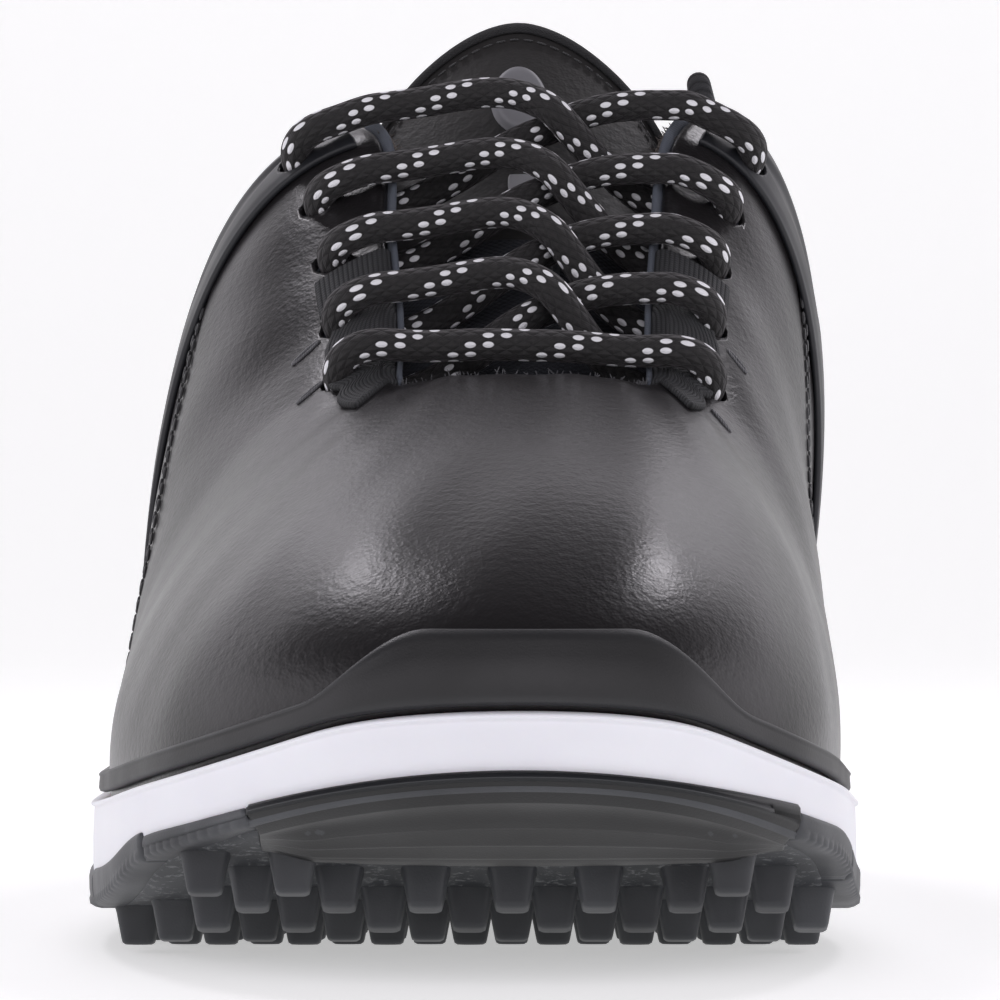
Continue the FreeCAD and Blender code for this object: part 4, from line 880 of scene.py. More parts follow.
def build_footbed():
    a = np.append(round_perimeter(240), 1.0)
    shares = np.linspace(0, 1, 16)

    def base(t):
        return midsole_top(t) + 1.95

    def rim_lift(t):
        """The rear cup and arch edge rise a little round the rim."""
        ring = smooth(0.22, 0.0, shares)[None, :] * smooth(120.0, 210.0, t)
        return 1.0 * ring

    under = spine_grid(a, shares, CUSHION_INSET, lambda x, t: base(t))
    over = spine_grid(a, shares, CUSHION_INSET, lambda x, t: base(t) + CUSHION_TOP + rim_lift(t))
    cushion = sheet("footbed_cushion", over, under, INSOLE_FOAM, "footbed", closed=True, round_edge=0.5)
    under = spine_grid(a, shares, COVER_INSET, lambda x, t: base(t) + COVER_LOW + rim_lift(t))
    over = spine_grid(a, shares, COVER_INSET, lambda x, t: base(t) + COVER_TOP + rim_lift(t))
    cover = sheet("footbed_cloth", over, under, INSOLE_CLOTH, "footbed", closed=True)
    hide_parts("footbed")
    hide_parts("footbed_cover")


# ---- eyelets and upper ----
LACE_ROWS_T = (112.0, 126.0, 140.0, 153.0, 166.0)
EYELET_HALF = (28.2, 28.8, 30.2, 32.8, 36.4)
HOLE_R = 3.1


def locate(x, t, medial):
    """The (a, v) near the rim whose plan place is (x, t)."""
    a, v, step = a_at_rim(t, medial), 0.85, 1e-4
    for _ in range(30):
        here, by_a, by_v = wall(a, v), wall(a + step, v), wall(a, v - step)
        ax, at = (by_a[:2] - here[:2]) / step
        vx, vt = (here[:2] - by_v[:2]) / step
        ex, et = x - here[0], t - here[1]
        det = ax * vt - vx * at
        a += 0.7 * (ex * vt - vx * et) / det
        v = min(v + 0.7 * (ax * et - at * ex) / det, 0.999)
    return a, v


def find_eyelets():
    found = {}
    for row, (t, half) in enumerate(zip(LACE_ROWS_T, EYELET_HALF)):
        for side in (-1, 1):
            a, v = locate(THROAT_CENTRE_X + side * half, t, side > 0)
            n = normal_at(a, v)
            inward = np.array([-side, 0.0, 0.0])
            found[row, side] = upper(a, v), n, unit(inward - n * inward.dot(n))
    return found


EYELETS = find_eyelets()


def eyelet_cutter():
    count = 28
    angle = np.linspace(0, 2 * math.pi, count, endpoint=False)
    disc = np.column_stack([np.cos(angle) * HOLE_R, np.sin(angle) * HOLE_R, np.full(count, -8.0)])
    template = np.vstack([disc, disc + (0, 0, 16.0)])
    faces = [[k, (k + 1) % count, count + (k + 1) % count, count + k] for k in range(count)]
    faces += [list(range(count))[::-1], list(range(count, 2 * count))]
    places = [frame_matrix(centre, inward, n) for centre, n, inward in EYELETS.values()]
    return copies("eyelet_cutter", template, faces, places, BLACK_LEATHER, None)


def undulation(a, v):
    """Gentle unevenness of lasted leather, mm."""
    w = 2 * math.pi * a
    return 0.16 * np.sin(13 * w + 5 * v) * np.sin(7 * v + 1.3) + 0.10 * np.sin(29 * w - 9 * v)


def build_vamp(cutter):
    p, v = np.linspace(0, 1, 260)[:, None], np.linspace(0, 1, 110)[None, :]
    a = seam(False, v, 0.0004) * (1 - p) + seam(True, v, -0.0004) * p
    outer, inner = upper(a, v, undulation(a, v) * smooth(0.0, 0.2, v)), upper(a, v, -LEATHER)
    made = sheet("vamp_leather", outer, inner, BLACK_LEATHER)
    boolean_cut(made, cutter)
    stands_for(made, "black_leather", "vamp")


def build_quarters():
    for medial, name in ((True, "quarter_medial"), (False, "quarter_lateral")):
        p, v = np.linspace(0, 1, 180)[:, None], np.linspace(0, 1, 80)[None, :]
        if medial:
            a = seam(True, v, 0.0008) * (1 - p) + (A_HEEL - 0.0004) * p
        else:
            a = (A_HEEL - 1 + 0.0004) * (1 - p) + seam(False, v, -0.0008) * p
        dip = 0.25 * smooth(0.45, 0.6, v) * smooth(0.95, 0.7, v)
        outer, inner = upper(a, v, undulation(a, v) - dip), upper(a, v, -LEATHER)
        made = sheet(name + "_leather", outer, inner, BLACK_LEATHER)
        stands_for(made, "black_leather", name)
        for k, shift in enumerate((0.0032, 0.0068)):
            v = np.linspace(0.12, 0.9, 80)
            a = seam(medial, v, shift if medial else -shift)
            stitch_line(f"{name}_seam_stitch_{k + 1}", upper(a, v, 0.02), normal_at(a, v), BLACK_THREAD)
        ends = (a_at_rim(181.0, True), A_HEEL - 0.012) if medial else (A_HEEL - 1 + 0.012,
                a_at_rim(180.0, False))
        a = np.linspace(*ends, 160)
        v = below_rim(a, 3.2)
        stitch_line(f"{name}_topline_stitch", upper(a, v, 0.02), normal_at(a, v), BLACK_THREAD)


def build_rand():
    a, q = np.append(round_perimeter(520), 1.0)[:, None], np.linspace(0, 1, 12)[None, :]
    top = rand_v(a[:, 0])[:, None]
    v = 0.02 * (1 - q) + top * q
    bumper = smooth(0.06, 0.16, top)
    crest = smooth(0.72, 0.9, q) * smooth(1.02, 0.95, q) * 0.2
    outer = upper(a, v, 1.35 + 0.35 * (1 - q) + crest + 0.1 * bumper)
    made = sheet("rand_rubber", outer, upper(a, v, -0.1), RAND_RUBBER, closed=True, round_edge=0.8)
    stands_for(made, "black_rubber", "rand")


# Gap, as v, between the rand's top edge and the pieces that end above it.
ABOVE_RAND_V = 0.012
BACKSTAY_HALF_A = 0.011
BACKSTAY_TOP_V = 0.985


def build_bands(cutter):
    for medial, name in ((True, "saddle_band_medial"), (False, "saddle_band_lateral")):
        top, foot = (a_at_rim(162.0, medial), a_at_rim(176.0, medial)), (a_at(146.0, medial),
                a_at(172.0, medial))
        p, q = np.linspace(0, 1, 48)[:, None], np.linspace(0, 1, 130)[None, :]
        share = smooth(-0.1, 1.0, q)
        front, rear = (foot[k] + (top[k] - foot[k]) * share for k in (0, 1))
        a = front * (1 - p) + rear * p
        low = rand_v(a.ravel()).reshape(a.shape) + ABOVE_RAND_V
        high = below_rim(a[:, -1], 3.0)[:, None]
        v = low * (1 - q) + high * q
        width = 0.17 * smooth(0.5, 0.6, q) * smooth(0.97, 0.75, q)
        groove = np.exp(-((p - 0.5) / np.maximum(width, 0.01)) ** 4) * smooth(0.5, 0.56, q) * smooth(0.97,
                0.93, q)
        ridge = 0.25 * smooth(0.0, 0.12, p) * smooth(1.0, 0.88, p)
        outer = upper(a, v, 1.15 + ridge - 0.75 * groove)
        if not medial:
            outer = outer[::-1]
        inner = upper(a, v, 0.05) if medial else upper(a, v, 0.05)[::-1]
        made = sheet(name + "_shell", outer, inner, SLATE_TPU, round_edge=0.6)
        boolean_cut(made, cutter)
        stands_for(made, "slate_tpu", name)


def build_backstay():
    p, q = np.linspace(-1, 1, 34)[:, None], np.linspace(0, 1, 90)[None, :]
    half = BACKSTAY_HALF_A * (1 + 0.25 * smooth(0.6, 0.0, q))
    a = A_HEEL + half * p
    low = rand_v(a[:, 0])[:, None] + ABOVE_RAND_V
    v = low * (1 - q) + BACKSTAY_TOP_V * q
    made = sheet("backstay_leather", upper(a, v, 1.2 + 0.25 * (1 - p * p)), upper(a, v, 0.05), BLACK_LEATHER)
    stands_for(made, "black_leather", "backstay")
    for side in (-1, 1):
        q = np.linspace(0.04, 0.97, 90)
        half = BACKSTAY_HALF_A * (1 + 0.25 * smooth(0.6, 0.0, q)) * 0.72
        a = A_HEEL + half * side
        v = (rand_v(a) + ABOVE_RAND_V) * (1 - q) + BACKSTAY_TOP_V * q
        name = "backstay_stitch_" + ("medial" if side > 0 else "lateral")
        stitch_line(name, upper(a, v, 1.33), normal_at(a, v), GREY_THREAD)


def build_facings(cutter):
    for medial, name in ((True, "throat_facing_medial"), (False, "throat_facing_lateral")):
        ends = sorted((a_at_rim(103.5, medial), a_at_rim(EYESTAY_END_T - 3.0, medial)))
        a = np.linspace(*ends, 120)
        low = below_rim(a, 14.0)[:, None]
        q = np.linspace(0, 1, 30)[None, :]
        v = low * (1 - q) + 1.017 * q
        made = sheet(name + "_cloth", upper(a[:, None], v, -1.55), upper(a[:, None], v, -2.35), SLATE_FACING)
        boolean_cut(made, cutter)
        stands_for(made, "slate_textile", name)


def build_webbing(cutter):
    """Lace loops of ribbed tape that wrap the throat's edge over the two lowest rows."""
    for medial, name in ((True, "webbing_medial"), (False, "webbing_lateral")):
        ends = sorted((a_at_rim(106.0, medial), a_at_rim(136.5, medial)))
        rows = [a_at_rim(t, medial) for t in LACE_ROWS_T[:2]]
        a = np.linspace(*ends, 110)
        pull = np.max([np.exp(-(((a - r) / 0.0067) ** 2)) for r in rows], axis=0)
        low = below_rim(a, 11.0 - 2.0 * pull)[:, None]
        q = np.linspace(0, 1, 40)[None, :]
        v = low * (1 - q) + 0.992 * q
        wrap = [(0.999, 1.1, 0.1), (1.006, 0.7, 0.0), (1.012, -0.1, -0.4), (1.013, -1.0, -1.0),
                (1.010, -1.9, -1.3),
                (1.002, -2.5, -1.45), (0.985, -2.7, -1.9)]
        outer, inner = [upper(a[:, None], v, 1.15)], [upper(a[:, None], v, 0.1)]
        for wv, d_out, d_in in wrap:
            outer.append(upper(a[:, None], np.full((1, 1), wv), d_out))
            inner.append(upper(a[:, None], np.full((1, 1), min(wv, 1.0015)), d_in))
        outer, inner = np.concatenate(outer, axis=1), np.concatenate(inner, axis=1)
        made = sheet(name + "_tape", outer, inner, WEBBING_TAPE, round_edge=0.7)
        boolean_cut(made, cutter)
        stands_for(made, "slate_webbing", name)
        build_slits(name, medial)


# Half width and half length of a tape slit in the shoe's own coordinates, and its distance below the rim.
SLIT_HALF_A = 0.0009
SLIT_HALF_V = 0.032
SLIT_BELOW_RIM = 15.0


def build_slits(name, medial):
    """Thread-bound slits in the leather where the tape passes through."""
    for k, t in enumerate((112.5, 126.0) if medial else (118.0, 127.0)):
        a0 = a_at_rim(t, medial)
        v0 = float(below_rim(np.full(1, a0), SLIT_BELOW_RIM)[0])
        turn = np.linspace(0, 2 * math.pi, 26)
        path = upper(a0 + SLIT_HALF_A * np.cos(turn), v0 + SLIT_HALF_V * np.sin(turn), 0.1)
        strand(f"{name}_slit_{k + 1}", path, 0.24, GREY_THREAD, around=8)
        p, q = np.linspace(-1, 1, 9)[:, None], np.linspace(-1, 1, 15)[None, :]
        lens_a = a0 + SLIT_HALF_A * p * np.sqrt(np.maximum(1 - q * q, 0.01))
        lens_v = v0 + SLIT_HALF_V * q + 0 * p
        sheet(f"{name}_slit_floor_{k + 1}", upper(lens_a, lens_v, 0.07), upper(lens_a, lens_v, -0.4),
                WEBBING_TAPE)


# ---- collar ----
COLLAR_START_T = 177.0
COLLAR_LOW_V = 0.58


def collar_rise(a):
    t = WALL(a)[..., 3]
    tall = np.where(a < A_HEEL, 0.112, 0.085)
    return 1.02 + tall * smooth(COLLAR_START_T - 1.0, 183.0, t) * smooth(207.0, 185.0, t)


def build_collar():
    a = np.linspace(a_at_rim(COLLAR_START_T, True), a_at_rim(COLLAR_START_T, False) + 1.0, 300)
    t = WALL(a)[:, 3]
    front = 0.35 + 0.65 * smooth(COLLAR_START_T - 4.0, 200.0, t)
    top = collar_rise(a)
    thick = 2.0 + 3.6 * front
    section = []
    for k in range(8):
        v = 0.86 + (top - thick / 200 - 0.86) * k / 7
        section.append((v, np.full_like(a, -1.75) - 0.15 * k / 7))
    for angle in np.radians(np.arange(15, 181, 18.0)):
        section.append((top - thick / 200 * (1 - np.sin(angle)), -1.9 - thick / 2 * (1 - np.cos(angle))))
    crown = 1.9 + thick
    for k in range(1, 15):
        share = k / 14
        v = top - thick / 200 + (COLLAR_LOW_V - top + thick / 200) * share
        fat = (0.8 + 5.6 * front * smooth(COLLAR_LOW_V, 0.86, v)) + 2.0
        blend = smooth(0.0, 0.35, share)
        section.append((v, -(crown * (1 - blend) + fat * blend)))
    grid = np.stack([upper(a, v, d) for v, d in section], axis=1)
    made = loft("collar_roll", grid, COLLAR_TEXTILE)
    stands_for(made, "collar_textile", "collar_lining", "collar_foam")


# ---- tongue ----
TONGUE_SPLIT_T = 150.0
TONGUE_BOTTOM_T = 93.0
# Fall of the tongue's face per square millimetre from its middle line.
TONGUE_CURVE = 0.0155


def tongue_centre_x(t):
    return THROAT_CENTRE_X - 0.7 * smooth(150, 187, t)


def tongue_point(t, x, d=0.0):
    """Point on the tongue's face at t and x from its middle, moved out by d."""
    t, x, d = np.broadcast_arrays(*(np.asarray(k, float) for k in (t, x, d)))

    def face(t, x):
        centre = tongue_centre_x(t)
        return np.stack([centre + x, t, TONGUE(t)[..., 0] - TONGUE_CURVE * x * x], axis=-1)

    step = 0.05
    normal = unit(np.cross(face(t, x + step) - face(t, x - step), face(t + step, x) - face(t - step, x)))
    p = face(t, x) + normal * d[..., None]
    p[..., 1] -= LENGTH / 2
    return p


def tongue_top_t(s):
    return 187.0 - 9.8 * np.abs(s) ** 1.7 - 7.2 * np.abs(s) ** 8


def tongue_grid(t_low, t_high, d, width=1.0, columns=90, rows=70):
    """A grid over the tongue; d may be a function of (s across, q up)."""
    s, q = np.linspace(-1, 1, columns)[:, None], np.linspace(0, 1, rows)[None, :]
    low, high = (x(s) if callable(x) else x for x in (t_low, t_high))
    t = low * (1 - q) + high * q
    x = s * TONGUE(t)[..., 1] * width
    return tongue_point(t, x, d(s, q) if callable(d) else d)


def build_tongue():
    puff = lambda s, q: 0.35 * (1 - s**4) * np.sin(math.pi * q) ** 0.5
    top = lambda s: tongue_top_t(s) - 0.3
    outer = tongue_grid(TONGUE_SPLIT_T, top, puff)
    face = sheet("tongue_leather", outer, tongue_grid(TONGUE_SPLIT_T, top, -0.95), TONGUE_LEATHER, "tongue")
    stands_for(face, "black_leather", "tongue_face")
    wrinkle = lambda s, q: 0.25 * np.sin(9 * s + 4 * q) * np.sin(7 * q) + 0.2
    outer = tongue_grid(TONGUE_BOTTOM_T, TONGUE_SPLIT_T - 0.1, wrinkle)
    inner = tongue_grid(TONGUE_BOTTOM_T, TONGUE_SPLIT_T - 0.1, -0.95)
    knit = sheet("tongue_knit", outer, inner, TONGUE_KNIT, None)
    hinge_z = TONGUE(97.0)[0]
    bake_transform(knit)
    stands_for(knit, "black_mesh", "tongue_mesh")
    bottom = TONGUE_BOTTOM_T + 3.0
    crown = lambda s, q: -5.9 - 0.6 * (1 - s**2) * np.sin(math.pi * q)
    pad = sheet("tongue_pad", tongue_grid(bottom, top, -1.0, 0.97), tongue_grid(bottom, top, crown, 0.97),
                LINING_TEXTILE, "tongue", round_edge=0.6)
    stands_for(pad, "lining_textile", "tongue_foam", "tongue_lining")
    build_binding()
    build_keeper()
    build_patch()


def tongue_outline(count):
    """Plan rows (t, x, outward t, outward x) up one side, over the arch and down the other side."""
    s = np.linspace(-1, 1, 60)
    arch = np.stack([tongue_top_t(s), s * TONGUE(tongue_top_t(s))[:, 1]], axis=1)
    side_t = np.linspace(TONGUE_SPLIT_T - 8.0, 167.0, 7)
    left = np.stack([side_t, -TONGUE(side_t)[:, 1]], axis=1)
    right = np.stack([side_t[::-1], TONGUE(side_t[::-1])[:, 1]], axis=1)
    line = resample(np.vstack([left, arch[2:-2:4], right]), 0.6)
    line = line[np.linspace(0, len(line) - 1, count).astype(int)]
    along = unit(np.gradient(line, axis=0))
    return line[:, 0], line[:, 1], along[:, 1], -along[:, 0]


def build_binding():
    t, x, out_t, out_x = tongue_outline(150)
    outside = [(-1.1, 0.35), (-1.0, 0.7), (-0.5, 0.95), (0.1, 0.8), (0.6, 0.2), (0.75, -1.2), (0.8, -3.2),
               (0.7, -5.2), (0.2, -6.3), (-0.8, -6.9), (-2.0, -6.8)]
    inside = [(-1.9, -6.2), (-0.8, -6.2), (-0.1, -5.6), (0.3, -3.2), (0.25, -1.2), (0.0, -0.2), (-0.6, 0.2)]
    section = [tongue_point(t + o * out_t, x + o * out_x, d) for o, d in outside + inside]
    made = loft("tongue_binding_tape", np.stack(section, axis=1), BINDING_TAPE, "tongue")
    stands_for(made, "dark_binding", "tongue_binding")
    points = tongue_point(t - 2.2 * out_t, x - 2.2 * out_x, 0.4)
    above = tongue_point(t - 2.2 * out_t, x - 2.2 * out_x, 1.4)
    stitch_line("tongue_edge_stitch", points, unit(above - points), BLACK_THREAD, "tongue", 1.6, 2.3, 0.15)


KEEPER_SPAN_T = (140.2, 144.4)


def build_keeper():
    """The short woven loop that holds the lace on the tongue, sewn down at both ends."""
    arch = lambda s, q: 0.25 + 1.0 + 0.7 * (1 - s * s)
    under = lambda s, q: 0.2 + 0.35 + 0.7 * (1 - s * s)
    outer = tongue_grid(*KEEPER_SPAN_T, arch, 0.18, 50, 16)
    made = sheet("tongue_keeper_tape", outer, tongue_grid(*KEEPER_SPAN_T, under, 0.18, 50, 16), KEEPER_TAPE,
            "tongue")
    stands_for(made, "slate_webbing", "tongue_keeper")
    for side in (-1, 1):
        t = np.linspace(140.4, 144.2, 12)
        x = np.full_like(t, side * 4.3)
        line, above = tongue_point(t, x, 1.6), tongue_point(t, x, 2.6)
        name = "keeper_stitch_" + ("right" if side > 0 else "left")
        stitch_line(name, line, unit(above - line), GREY_THREAD, "tongue", 0.9, 1.2, 0.18)


def build_patch():
    """A plain oval patch with a raised rim, and three plain tabs under it."""
    centre, long_half, short_half = 175.0, 5.4, 4.5
    angle = np.linspace(0, 2 * math.pi, 61)
    share = np.linspace(0, 1, 12)[None, :]
    t = centre + long_half * np.sin(angle)[:, None] * share
    x = short_half * np.cos(angle)[:, None] * share
    rim = 0.28 * smooth(0.72, 0.8, share) * smooth(1.0, 0.93, share)
    made = sheet("tongue_patch_oval", tongue_point(t, x, 0.62 + rim), tongue_point(t, x, 0.3), PATCH_GROUND,
            "tongue",
                 closed=True)
    stands_for(made, "patch_print", "tongue_patch")
    for k, middle in enumerate((165.6, 160.8, 156.0)):
        s, q = np.linspace(-1, 1, 20)[:, None], np.linspace(-1, 1, 16)[None, :]
        t, x = middle + 1.5 * q + 0 * s, 2.1 * s * (1 - 0.12 * q**4)
        tab = sheet(f"tongue_patch_tab_{k + 1}", tongue_point(t, x, 0.62), tongue_point(t, x, 0.25),
                PATCH_PRINT, "tongue")


# ---- lace ----
LACE_R = 2.4
LACE_CLEAR = 0.4
UNDER_DEPTH = 5.55
CROSS_LIFT = 4.2
# Share of the way from the over side that a strand runs level before it turns down to the row below.
LEVEL_SHARE_TOP = 0.50
LEVEL_SHARE_LOW = 0.36
LEVEL_END_SHARE = 0.97
# Where along that way the strand on top rides over the other, and how wide the rise is.
CROSS_SHARE = 0.56
CROSS_WIDTH = 0.2
MIN_SPACING = 4.5
BAR_ARCH = 1.0
STRAND_SPACING = 5.0
TONGUE_CROWN = 0.6
SETTLE_STEPS = 90
SETTLE_PULL = 0.12


def above_tongue(x, t, gap):
    dx = x - tongue_centre_x(t)
    rise = (TONGUE(t + 1.0)[..., 0] - TONGUE(t - 1.0)[..., 0]) / 2.0
    steepness = np.sqrt(1.0 + rise**2 + (2 * TONGUE_CURVE * dx) ** 2)
    return TONGUE(t)[..., 0] - TONGUE_CURVE * dx * dx + (LACE_R + gap) * steepness


def over_height(row):
    return (1.1, 1.1, 0.0, 0.0, 1.3)[row] + LACE_R + LACE_CLEAR


def lace_turn(row, side):
    """The half circle from above the eyestay, through the eyelet, to below it."""
    centre, n, inward = EYELETS[row, side]
    high, low = over_height(row), -UNDER_DEPTH
    middle, radius = (high + low) / 2, (high - low) / 2
    points = []
    for angle in np.radians((90, 54, 18, -18, -54, -90)):
        outwards = inward * radius * (1 - math.cos(angle))
        points.append(centre + outwards + n * (middle + radius * math.sin(angle)))
    return points


def rim_half(t, side):
    return abs(float(WALL(a_at_rim(t, side > 0))[2]) - THROAT_CENTRE_X)


def beside_eyestay(x, t, side, depth):
    if abs(x - THROAT_CENTRE_X) <= rim_half(t, side) + 0.2:
        a, v = a_at_rim(t, side > 0), 1.0
    else:
        a, v = locate(x, t, side > 0)
    low, high = wall(a, max(v - 1e-3, 0.0)), wall(a, min(v + 1e-3, 1.0))
    n = unit(np.cross(wall(a + 1e-3, v) - wall(a - 1e-3, v), high - low))
    return wall(a, v)[2] + depth / n[2]


def crossing(low_row, low_side, on_top):
    """Points from the turn under row low_row on low_side to the turn over the next row on the other side."""
    under, over = lace_turn(low_row, low_side)[-1], lace_turn(low_row + 1, -low_side)[0]
    t_under, t_over = under[1] + LENGTH / 2, over[1] + LENGTH / 2
    reach_under, reach_over = (under[0] - THROAT_CENTRE_X) * low_side, (THROAT_CENTRE_X - over[0]) * low_side
    rim_under, rim_over = rim_half(t_under, low_side), rim_half(t_over, -low_side)
    bend = LEVEL_SHARE_TOP if on_top else LEVEL_SHARE_LOW
    z_over = beside_eyestay(THROAT_CENTRE_X - low_side * rim_over, t_over, -low_side,
            over_height(low_row + 1))
    z_under = beside_eyestay(THROAT_CENTRE_X + low_side * rim_under, t_under, low_side, -UNDER_DEPTH)
    places = [(rim_under + reach_under) / 2, *np.linspace(rim_under, -rim_over, 9),
            -(rim_over + reach_over) / 2]
    points, last = [], reach_under
    for d in places:
        if last - d < MIN_SPACING or d + reach_over < MIN_SPACING:
            continue
        last = d
        x = THROAT_CENTRE_X + low_side * d
        share = (d + reach_over) / (reach_over + reach_under)
        t = t_over + (t_under - t_over) * float(smooth(bend, LEVEL_END_SHARE, share))
        if d > rim_under - 1.0:
            z = beside_eyestay(x, t, low_side, -UNDER_DEPTH)
        elif d < 1.0 - rim_over:
            z = beside_eyestay(x, t, -low_side, over_height(low_row + 1))
        else:
            z = z_over + (z_under - z_over) * float(smooth(bend, LEVEL_END_SHARE, share))
            z = max(z, float(above_tongue(x, t, LACE_CLEAR)))
            z += CROSS_LIFT * math.exp(-(((share - CROSS_SHARE) / CROSS_WIDTH) ** 2)) if on_top else 0.0
        points.append(np.array([x, t - LENGTH / 2, float(z)]))
    return points


def lace_end(side):
    centre, n, _ = EYELETS[4, side]
    return [centre - n * 6.0, centre + (side * 0.3, 3.5, -14.0), centre + (side * 1.6, 8.5, -26.0)]


def lace_path():
    """One lace: from the lateral end down the crossings to the straight bar, and up to the medial end."""
    side = -1
    path = lace_end(-1)[::-1] + lace_turn(4, side)[:3][::-1]
    for low_row in (3, 2, 1, 0):
        path += crossing(low_row, -side, side < 0)[::-1]
        side = -side
        path += lace_turn(low_row, side)[::-1]
    start, end = lace_turn(0, side)[0], lace_turn(0, -side)[0]
    for share in (0.15, 0.35, 0.5, 0.65, 0.85):
        p = start + (end - start) * share
        p[2] += BAR_ARCH * 4 * share * (1 - share)
        path.append(p)
    side = -side
    path += lace_turn(0, side)
    for low_row in (0, 1, 2, 3):
        path += crossing(low_row, side, -side < 0)
        side = -side
        path += lace_turn(low_row + 1, side) if low_row < 3 else lace_turn(4, side)[:3]
    return np.array(path + lace_end(side))


def settle_lace(points):
    """Pulls the strands taut across the throat; they come to rest on the tongue and on each other."""
    p = resample(points, 2.0)
    rows_t = np.linspace(100.0, 172.0, 25)
    halves = {side: [rim_half(t, side) for t in rows_t] for side in (-1, 1)}
    t, dx = p[:, 1] + LENGTH / 2, p[:, 0] - THROAT_CENTRE_X
    half = np.where(dx > 0, np.interp(t, rows_t, halves[1]), np.interp(t, rows_t, halves[-1]))
    free = (np.abs(dx) < half - 0.5) & (t > LACE_ROWS_T[0] + 1.5)
    index = np.arange(len(p))
    apart = np.abs(index[:, None] - index[None, :]) > 7
    for _ in range(SETTLE_STEPS):
        pull = 0.5 * (p[:-2] + p[2:]) - p[1:-1]
        p[1:-1][free[1:-1]] += SETTLE_PULL * pull[free[1:-1]]
        gap = p[:, None] - p[None, :]
        distance = np.maximum(np.linalg.norm(gap, axis=2), 1e-6)
        short = np.where(apart, np.maximum(STRAND_SPACING - distance, 0.0), 0.0)
        push = np.sum(gap * (0.5 * short / distance)[:, :, None], axis=1)
        p[free] += push[free]
        t, dx = p[:, 1] + LENGTH / 2, p[:, 0] - THROAT_CENTRE_X
        lowest = above_tongue(p[:, 0], t, LACE_CLEAR + TONGUE_CROWN * np.exp(-((dx / 14.0) ** 2)))
        p[free, 2] = np.maximum(p[:, 2], lowest)[free]
    return p


def build_lace():
    path = settle_lace(lace_path())
    made = strand("lace_braid", resample(path, 0.6), LACE_R + 0.08, LACE_CORD, around=28)
    stands_for(made, "black_cord", "lace")
    for name, tip, before in (("aglet_lateral", path[0], path[1]), ("aglet_medial", path[-1], path[-2])):
        ahead = unit(tip - before)
        s = np.linspace(-1.0, 20.5, 40)
        radius = 2.15 - 0.25 * smooth(0.0, 20.0, s) - 0.9 * smooth(19.2, 20.5,
                s) + 0.12 * np.exp(-(((s - 1.5) / 0.5) ** 2))
        made = strand(name, tip + ahead * s[:, None], radius, AGLET_FILM, around=20)
    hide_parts("aglets")


def fibres(name, points, normals, mat, count, length, seed, body="shoe"):
    """Short loose fibres along a raw edge."""
    pick = np.random.default_rng(seed)
    places = []
    for _ in range(count):
        i = pick.integers(0, len(points))
        ahead = unit(normals[i] + pick.normal(0, 0.55, 3))
        side = unit(np.cross(ahead, pick.normal(0, 1, 3)))
        scale = length * pick.uniform(0.4, 1.2)
        m = frame_matrix(points[i] + pick.normal(0, 0.25, 3) + ahead * scale / 2, ahead, side)
        m[:3, 0] *= scale
        places.append(m)
    return copies(name, *bead(1.0, 0.09, 4), places, mat, body)


def build_raw_edges():
    """The raw cloth edge at the foot of the throat and the foam that shows at its top corners."""
    a = np.linspace(a_at(62.0, False), a_at(62.0, True), 140)
    line = upper(a, 1.004, -2.6)
    wobble = 0.9 + 0.25 * np.sin(np.arange(140) * 1.7) * np.sin(np.arange(140) * 0.6)
    made = strand("throat_raw_edge", line, wobble, RAW_CLOTH, around=12)
    out = np.tile([0.0, 0.55, 0.8], (140, 1))
    fibres("throat_raw_fibres", line + (0, 0, 0.5), out, RAW_CLOTH, 260, 1.7, 3)
    for medial in (True, False):
        ends = sorted((a_at_rim(157.0, medial), a_at_rim(171.0, medial)))
        a = np.linspace(*ends, 60)
        line = upper(a, 1.006, -3.1)
        name = "throat_foam_" + ("medial" if medial else "lateral")
        radius = 1.1 + 0.3 * np.sin(np.arange(60) * 1.3)
        made = strand(name, line, radius, RAW_FOAM, around=12)
        inward = np.tile([-0.6 if medial else 0.6, -0.2, 0.7], (60, 1))
        fibres(name + "_fibres", line, inward, RAW_FOAM, 220, 1.8, 5 if medial else 7)


# ---- assembly ----
for node, finish in CAD_FINISH.items():
    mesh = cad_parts[node].data
    mesh.materials.clear()
    mesh.materials.append(finish)

cutter = eyelet_cutter()
build_midsole()
build_outsole()
build_footbed()
build_vamp(cutter)
build_quarters()
build_rand()
build_bands(cutter)
build_backstay()
build_facings(cutter)
build_webbing(cutter)
build_collar()
build_tongue()
build_lace()
build_raw_edges()
bpy.data.objects.remove(cutter)


# ---- floor, light and camera ----
def build_floor():
    """A pale floor that sweeps up behind the shoe."""
    bend, reach, back, tall = 600.0, 4000.0, 1800.0, 900.0
    arc = np.radians(np.linspace(0, 90, 24))
    ys = np.concatenate([[-reach], back - bend + bend * np.sin(arc), [back]])
    zs = np.concatenate([[0.0], bend - bend * np.cos(arc), [tall]])
    xs = np.linspace(-reach, reach, 9)
    grid = np.stack(np.broadcast_arrays(xs[:, None], ys[None, :], zs[None, :]), axis=2)
    faces = grid_faces(len(xs), len(ys))
    floor = finish_mesh("floor", grid.reshape(-1, 3), faces, grid[..., :2].reshape(-1, 2), FLOOR, None)


def softbox(name, place, target, size, power, tint=(1.0, 1.0, 1.0)):
    lamp = bpy.data.lights.new(name, "AREA")
    lamp.shape, lamp.size, lamp.size_y = "RECTANGLE", size[0], size[1]
    lamp.energy, lamp.color = power, tint
    made = bpy.data.objects.new(name, lamp)
    made.location = place
    made.rotation_euler = (Vector(target) - Vector(place)).to_track_quat("-Z", "Y").to_euler()
    bpy.context.scene.collection.objects.link(made)


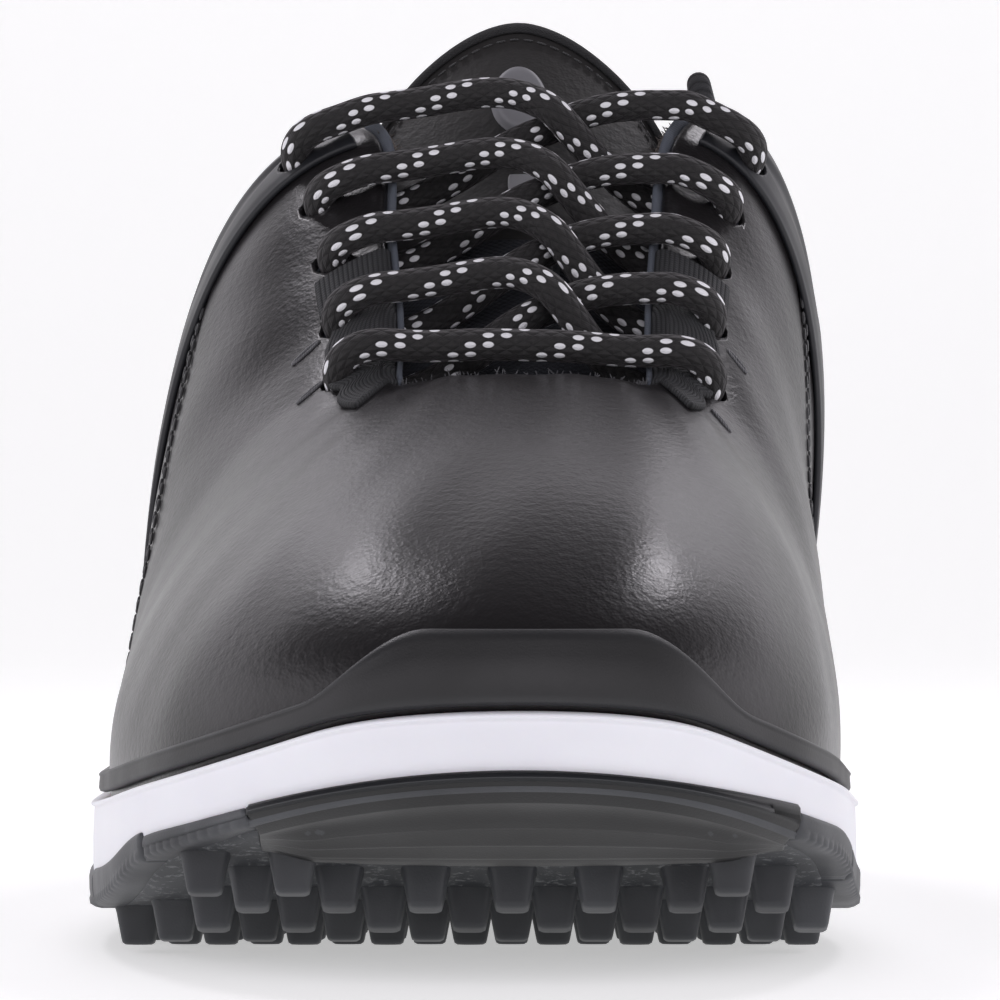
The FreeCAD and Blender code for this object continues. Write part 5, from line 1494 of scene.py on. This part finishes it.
class Sky(Nodes):
    """The world's node tree, with the same helpers as a material's."""

    def __init__(self, name):
        self.world = bpy.data.worlds.new(name)
        self.world.use_nodes = True
        self.tree = self.world.node_tree

    def graded(self, value, low, high, to_low, to_high):
        inputs = {0: value, 1: low, 2: high, 3: to_low, 4: to_high}
        return self.add("MapRange", inputs, interpolation_type="SMOOTHSTEP")


def build_world():
    """Bright walls at the sides and back; dim in front and overhead."""
    n = Sky("studio")
    bpy.context.scene.world = n.world
    split = n.tree.nodes.new("ShaderNodeSeparateXYZ")
    n.link(split.inputs[0], n.spot("Generated"))
    x, y, z = split.outputs
    sides = n.graded(n.math("ABSOLUTE", x), 0.45, 0.95, 0.0, SIDE_GLOW)
    back = n.graded(y, 0.0, 0.8, 0.0, BACK_GLOW)
    overhead = n.graded(z, 0.48, 0.74, 1.0, OVERHEAD_SHARE)
    glow = n.math("ADD", n.math("MULTIPLY", n.math("MAXIMUM", sides, back), overhead), FRONT_GLOW)
    seen = n.add("LightPath", out="Is Camera Ray")
    background = n.tree.nodes["Background"]
    background.inputs[0].default_value = (*STUDIO_TINT, 1.0)
    n.link(background.inputs[1], n.math("MAXIMUM", seen, glow))


SIDE_GLOW, BACK_GLOW, FRONT_GLOW, OVERHEAD_SHARE = 1.6, 1.4, 0.05, 0.02
STUDIO_TINT = (1.0, 0.965, 1.02)

build_floor()
build_world()
softbox("left_box", (-0.45, 0.6, 1.05), (0.0, -0.08, 0.05), (0.26, 0.26), 2.6, STUDIO_TINT)
softbox("right_box", (0.50, 0.6, 1.05), (0.015, -0.08, 0.05), (0.26, 0.26), 2.6, STUDIO_TINT)
softbox("front_box", (0.0, -1.9, 1.2), (0.0, -0.15, 0.04), (3.0, 1.8), 22.0, STUDIO_TINT)

lens = bpy.data.cameras.new("camera")
lens.lens, lens.sensor_width = 193.5, 36.0
camera = bpy.data.objects.new("camera", lens)
camera.location = (0.0043, -0.857, 0.0655)
camera.rotation_euler = (math.pi / 2, 0.0, 0.0)
bpy.context.scene.collection.objects.link(camera)
bpy.context.scene.camera = camera
bpy.context.scene.view_settings.view_transform = "Standard"
